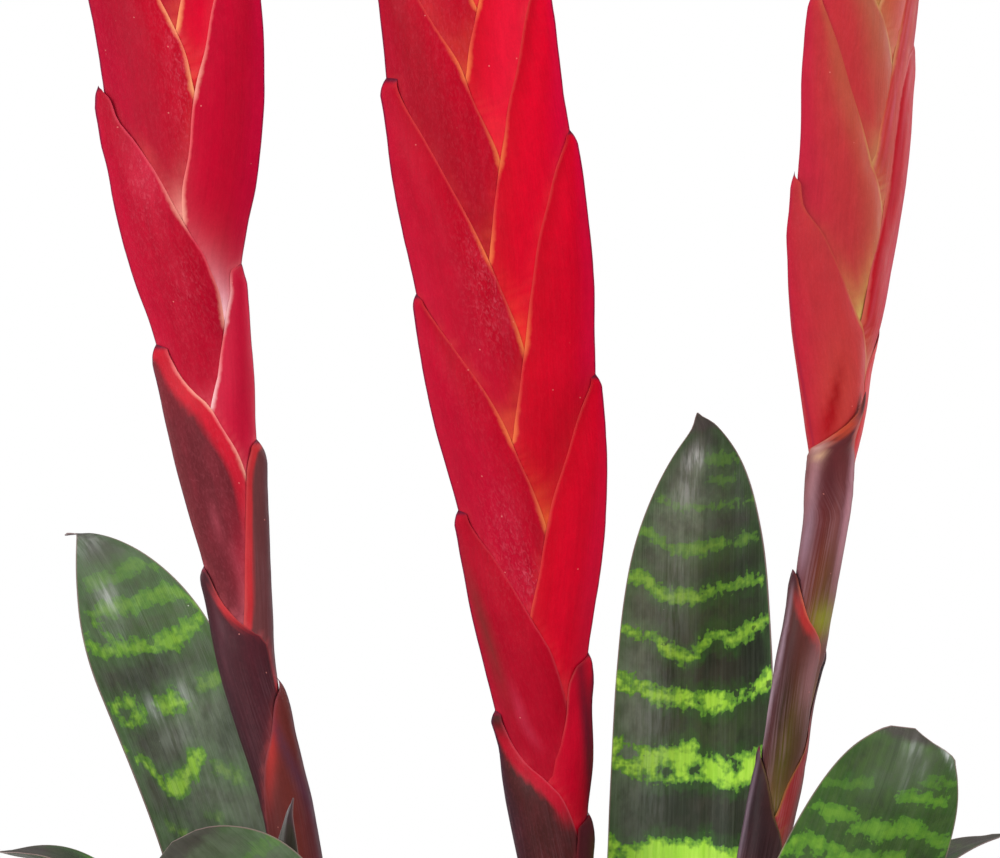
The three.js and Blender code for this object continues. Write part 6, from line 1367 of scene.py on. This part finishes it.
def build_root_ball():
    so = Soup()
    nr, na = 96, 220
    zb = np.linspace(0, 1, nr)
    ang = np.linspace(0, 2 * np.pi, na, endpoint=False)
    rings = []
    # bottom centre to rim, up the side, over the top to the centre
    prof = [(0.0, 0.0)] + [(r, 0.0) for r in np.linspace(6, 51.0, 10)] + [(52.2, 1.6)]
    prof += [(52 + 15 * (z / 90.0), z) for z in np.linspace(4, 86, 58)] + [(66.2, 88.6), (64.6, 89.8)] + [(r, 90.0) for r in np.linspace(62, 5, 22)] + [(0.0, 90.0)]
    prof = np.array(prof)
    R = np.repeat(prof[1:-1, 0][:, None], na, 1)
    Z = np.repeat(prof[1:-1, 1][:, None], na, 1)
    A = np.repeat(ang[None], len(prof) - 2, 0)
    x, y = R * np.cos(A), R * np.sin(A)
    side = smooth((Z - 0.5) / 4.0)
    top = smooth((Z - 86.0) / 3.5)
    n = 1.5 * noise3(x / 11, y / 11, Z / 11, 1) + 0.9 * noise3(x / 4.6, y / 4.6, Z / 4.6, 2) + 0.55 * noise3(x / 2.2, y / 2.2, Z / 2.2, 3)
    shift = (n - 1.1) * side * (1 - top)
    Rn = R + shift
    Zn = Z + top * (0.9 * noise3(x / 8, y / 8, 0.0, 5) + 0.8 * noise3(x / 3, y / 3, 0.0, 6) - 0.9)
    P = np.stack([Rn * np.cos(A), Rn * np.sin(A), Zn], -1)
    rows = len(prof) - 2
    verts = np.concatenate([P.reshape(-1, 3), [[0, 0, 0.0], [0, 0, 89.0]]])
    faces = []
    for i in range(rows - 1):
        for j in range(na):
            a, b = i * na + j, i * na + (j + 1) % na
            faces.append((a, b, b + na, a + na))
    lo, hi = rows * na, rows * na + 1
    for j in range(na):
        faces.append((lo, (j + 1) % na, j))
        faces.append((hi, (rows - 1) * na + j, (rows - 1) * na + (j + 1) % na))
    nv = len(verts)
    so.add(verts, faces, dict(coord=verts, side=np.repeat([[0.0, 0.0, 0.0]], nv, 0)))
    # roots that run over the ball
    for i in range(190):
        a0 = 2 * math.pi * rnd(i, 1)
        z0 = 84 - 74 * rnd(i, 2) * 0.6
        L = 26 + 60 * rnd(i, 3)
        m = 16
        tt = np.linspace(0, 1, m)
        dirn = -1 if rnd(i, 4) < 0.8 else 0.3
        zz = np.clip(z0 + dirn * L * tt * (0.6 + 0.5 * rnd(i, 5)) + 3.5 * noise2(tt * 3.2, i * 1.3, 9), 1.6, 87)
        aa = a0 + (rnd(i, 6) - 0.5) * 1.5 * tt + 0.10 * noise2(tt * 3.0, i * 2.1, 12)
        base = 52 + 15 * (zz / 90.0)
        xs, ys = base * np.cos(aa), base * np.sin(aa)
        nn = 1.5 * noise3(xs / 11, ys / 11, zz / 11, 1) + 0.9 * noise3(xs / 4.6, ys / 4.6, zz / 4.6, 2)
        rad = base + nn - 1.1 + 0.25 + 0.45 * noise2(tt * 5, i * 0.7, 15)
        th = (0.35 + 0.55 * rnd(i, 7) ** 2) * (1 - 0.6 * tt)
        path = np.stack([rad * np.cos(aa), rad * np.sin(aa), zz], -1)
        tube(so, path, th, 6, dict(coord=np.stack([tt * L, np.full(m, i * 3.0), zz], -1), side=np.repeat([[1.0, rnd(i, 8), 0.0]], m, 0)))
    # crumbs of bark and soil on top
    for i in range(330):
        a0 = 2 * math.pi * rnd(i, 21)
        rr = 64 * math.sqrt(rnd(i, 22))
        c = np.array([rr * math.cos(a0), rr * math.sin(a0), 89.3])
        if min(math.hypot(c[0] - v[0], c[1] - v[1]) for v in CROWNS.values()) < 12.5:
            continue
        size = np.array([1.0 + 2.4 * rnd(i, 23) ** 2, 0.8 + 1.5 * rnd(i, 24), 0.5 + 0.8 * rnd(i, 25)])
        th0 = math.pi * rnd(i, 26)
        lat, lon = 6, 9
        vs = []
        for p in range(1, lat):
            ph = math.pi * p / lat
            for q in range(lon):
                th_ = 2 * math.pi * q / lon
                v = np.array([math.sin(ph) * math.cos(th_), math.sin(ph) * math.sin(th_), math.cos(ph)])
                v = v * (1 + 0.22 * (rnd(i * 97 + p, q) - 0.5) * 2) * size
                vs.append((v[0] * math.cos(th0) - v[1] * math.sin(th0), v[0] * math.sin(th0) + v[1] * math.cos(th0), v[2]))
        vs = np.array(vs + [(0, 0, size[2]), (0, 0, -size[2])]) + c
        fs = []
        for p in range(lat - 2):
            for q in range(lon):
                a_, b_ = p * lon + q, p * lon + (q + 1) % lon
                fs.append((a_, a_ + lon, b_ + lon, b_))
        nt = (lat - 1) * lon
        for q in range(lon):
            fs.append((nt, q, (q + 1) % lon))
            fs.append((nt + 1, (lat - 2) * lon + (q + 1) % lon, (lat - 2) * lon + q))
        so.add(vs, fs, dict(coord=vs, side=np.repeat([[0.0, rnd(i, 27), 1.0]], len(vs), 0)))
    ob = so.mesh("soil_and_roots", 70)
    m = Tree("soil")
    co = m.attr("coord")
    root, tone, crumb = m.split(m.attr("side"))
    a = m.noise(co, 0.20, 5.0, 0.65)
    b = m.noise(co, 1.4, 3.0, 0.6)
    soil = m.mix(m.ramp(a, 0.35, 0.65), lin(38, 27, 20), lin(74, 54, 38))
    soil = m.mix(m.ramp(b, 0.55, 0.75, 0.0, 0.5), soil, lin(110, 88, 62))
    bark = m.mix(tone, lin(50, 33, 22), lin(122, 84, 54))
    bark = m.mix(m.ramp(m.noise(co, 1.0, 3.0, 0.6, (0.5, 2.0, 1.0)), 0.35, 0.65, 0.0, 0.5), bark, lin(40, 27, 20))
    soil = m.mix(crumb, soil, bark)
    rt = m.mix(tone, lin(92, 66, 42), lin(170, 140, 98))
    rt = m.mix(m.ramp(m.noise(co, 0.35, 3.0, 0.6), 0.4, 0.65, 0.0, 0.6), rt, lin(66, 46, 30))
    c = m.mix(root, soil, rt)
    h = m.math("ADD", m.noise(co, 0.9, 5.0, 0.68), m.math("MULTIPLY", m.noise(co, 3.0, 3.0, 0.6), 0.4))
    mat = m.set(Base_Color=c, Roughness=0.93, Normal=m.bump(h, 0.0006, 0.9), Specular_IOR_Level=0.25)
    ob.data.materials.append(mat)
    set_piece(ob, "root_ball", "root_ball")


# =====================================================================  light, floor, camera

def build_stage():
    sc = bpy.context.scene
    sc.view_settings.view_transform = "Standard"
    sc.view_settings.look = "None"
    w = bpy.data.worlds.new("studio")
    sc.world = w
    w.use_nodes = True
    t = w.node_tree
    t.nodes.clear()
    out = t.nodes.new("ShaderNodeOutputWorld")
    mix = t.nodes.new("ShaderNodeMixShader")
    lp = t.nodes.new("ShaderNodeLightPath")
    soft = t.nodes.new("ShaderNodeBackground")
    soft.inputs[0].default_value = (1.0, 1.0, 1.0, 1.0)
    soft.inputs[1].default_value = WORLD_LIGHT
    dim = t.nodes.new("ShaderNodeMapRange")
    dim.inputs[3].default_value, dim.inputs[4].default_value = WORLD_LIGHT, WORLD_GLOSS
    t.links.new(lp.outputs["Is Glossy Ray"], dim.inputs[0])
    t.links.new(dim.outputs[0], soft.inputs[1])
    white = t.nodes.new("ShaderNodeBackground")
    white.inputs[0].default_value = (1.0, 1.0, 1.0, 1.0)
    white.inputs[1].default_value = 1.0
    t.links.new(lp.outputs["Is Camera Ray"], mix.inputs[0])
    t.links.new(soft.outputs[0], mix.inputs[1])
    t.links.new(white.outputs[0], mix.inputs[2])
    t.links.new(mix.outputs[0], out.inputs[0])

    # floor: a pale round table top with a fine even grain
    n = 128
    me = bpy.data.meshes.new("floor")
    vs = [(0, 0, 0)] + [(2.6 * math.cos(2 * math.pi * i / n), 2.6 * math.sin(2 * math.pi * i / n), 0) for i in range(n)]
    me.from_pydata(vs, [], [(0, 1 + i, 1 + (i + 1) % n) for i in range(n)])
    fl = bpy.data.objects.new("floor", me)
    sc.collection.objects.link(fl)
    m = Tree("floor")
    tex = m.t.nodes.new("ShaderNodeTexCoord")
    g = m.noise(tex.outputs["Object"], 60.0, 3.0, 0.5)
    m.set(Base_Color=m.mix(m.ramp(g, 0.3, 0.7), lin(206, 205, 203), lin(212, 211, 209)), Roughness=0.75, Specular_IOR_Level=0.3)
    me.materials.append(m.mat)

    def area(name, loc, target, size, power, colour, gloss):
        ld = bpy.data.lights.new(name, "AREA")
        ld.shape = "RECTANGLE"
        ld.size, ld.size_y = size
        ld.energy = power
        ld.color = colour
        ob = bpy.data.objects.new(name, ld)
        ob.location = loc
        ob.rotation_euler = (Vector(target) - Vector(loc)).to_track_quat("-Z", "Y").to_euler()
        ob.visible_glossy = gloss
        sc.collection.objects.link(ob)

    mid = (0.0, 0.0, 0.38)
    for name, loc, size, power, colour, gloss in LIGHTS:
        area(name, loc, mid, size, power, colour, gloss)

    cam = bpy.data.cameras.new("camera")
    cam.sensor_fit = "HORIZONTAL"
    cam.sensor_width = 36.0
    cam.lens = 36.0 * 1.6 / 0.2438634
    cam.clip_start, cam.clip_end = 0.05, 60.0
    co = bpy.data.objects.new("camera", cam)
    co.location = (0.0, -1.6, 0.38463)
    co.rotation_euler = (math.pi / 2, 0.0, 0.0)
    sc.collection.objects.link(co)
    sc.camera = co


LEAF_GROUND = [(36, 43, 28), (55, 54, 44), (26, 36, 20), (48, 92, 30)]
LEAF_PALE = [(146, 200, 50), (168, 216, 68), (86, 138, 40)]
WORLD_LIGHT, WORLD_GLOSS = 0.48, 0.20
LIGHTS = [
    ("key", (-1.5, -1.5, 1.1), (1.3, 1.5), 33.0, (1.0, 0.99, 0.98), True),
    ("fill", (1.6, -1.3, 0.8), (1.2, 1.4), 17.0, (0.98, 0.99, 1.0), False),
    ("top", (0.1, -0.2, 2.2), (1.6, 1.6), 18.0, (1.0, 1.0, 1.0), True),
    ("rim_left", (-1.5, 1.3, 0.9), (1.0, 1.6), 11.0, (1.0, 1.0, 1.0), True),
    ("rim_right", (1.5, 1.3, 0.9), (1.0, 1.6), 11.0, (1.0, 1.0, 1.0), True),
]

# =====================================================================  build everything

build_stage()
for spike_name in ("left", "middle", "right"):
    grow_spike(spike_name, SPIKES[spike_name])
LEAF_MAT = leaf_material("banded_leaf")
for i, row in enumerate(LEAVES):
    build_leaf(row, LEAF_MAT, i + 1)
build_root_ball()
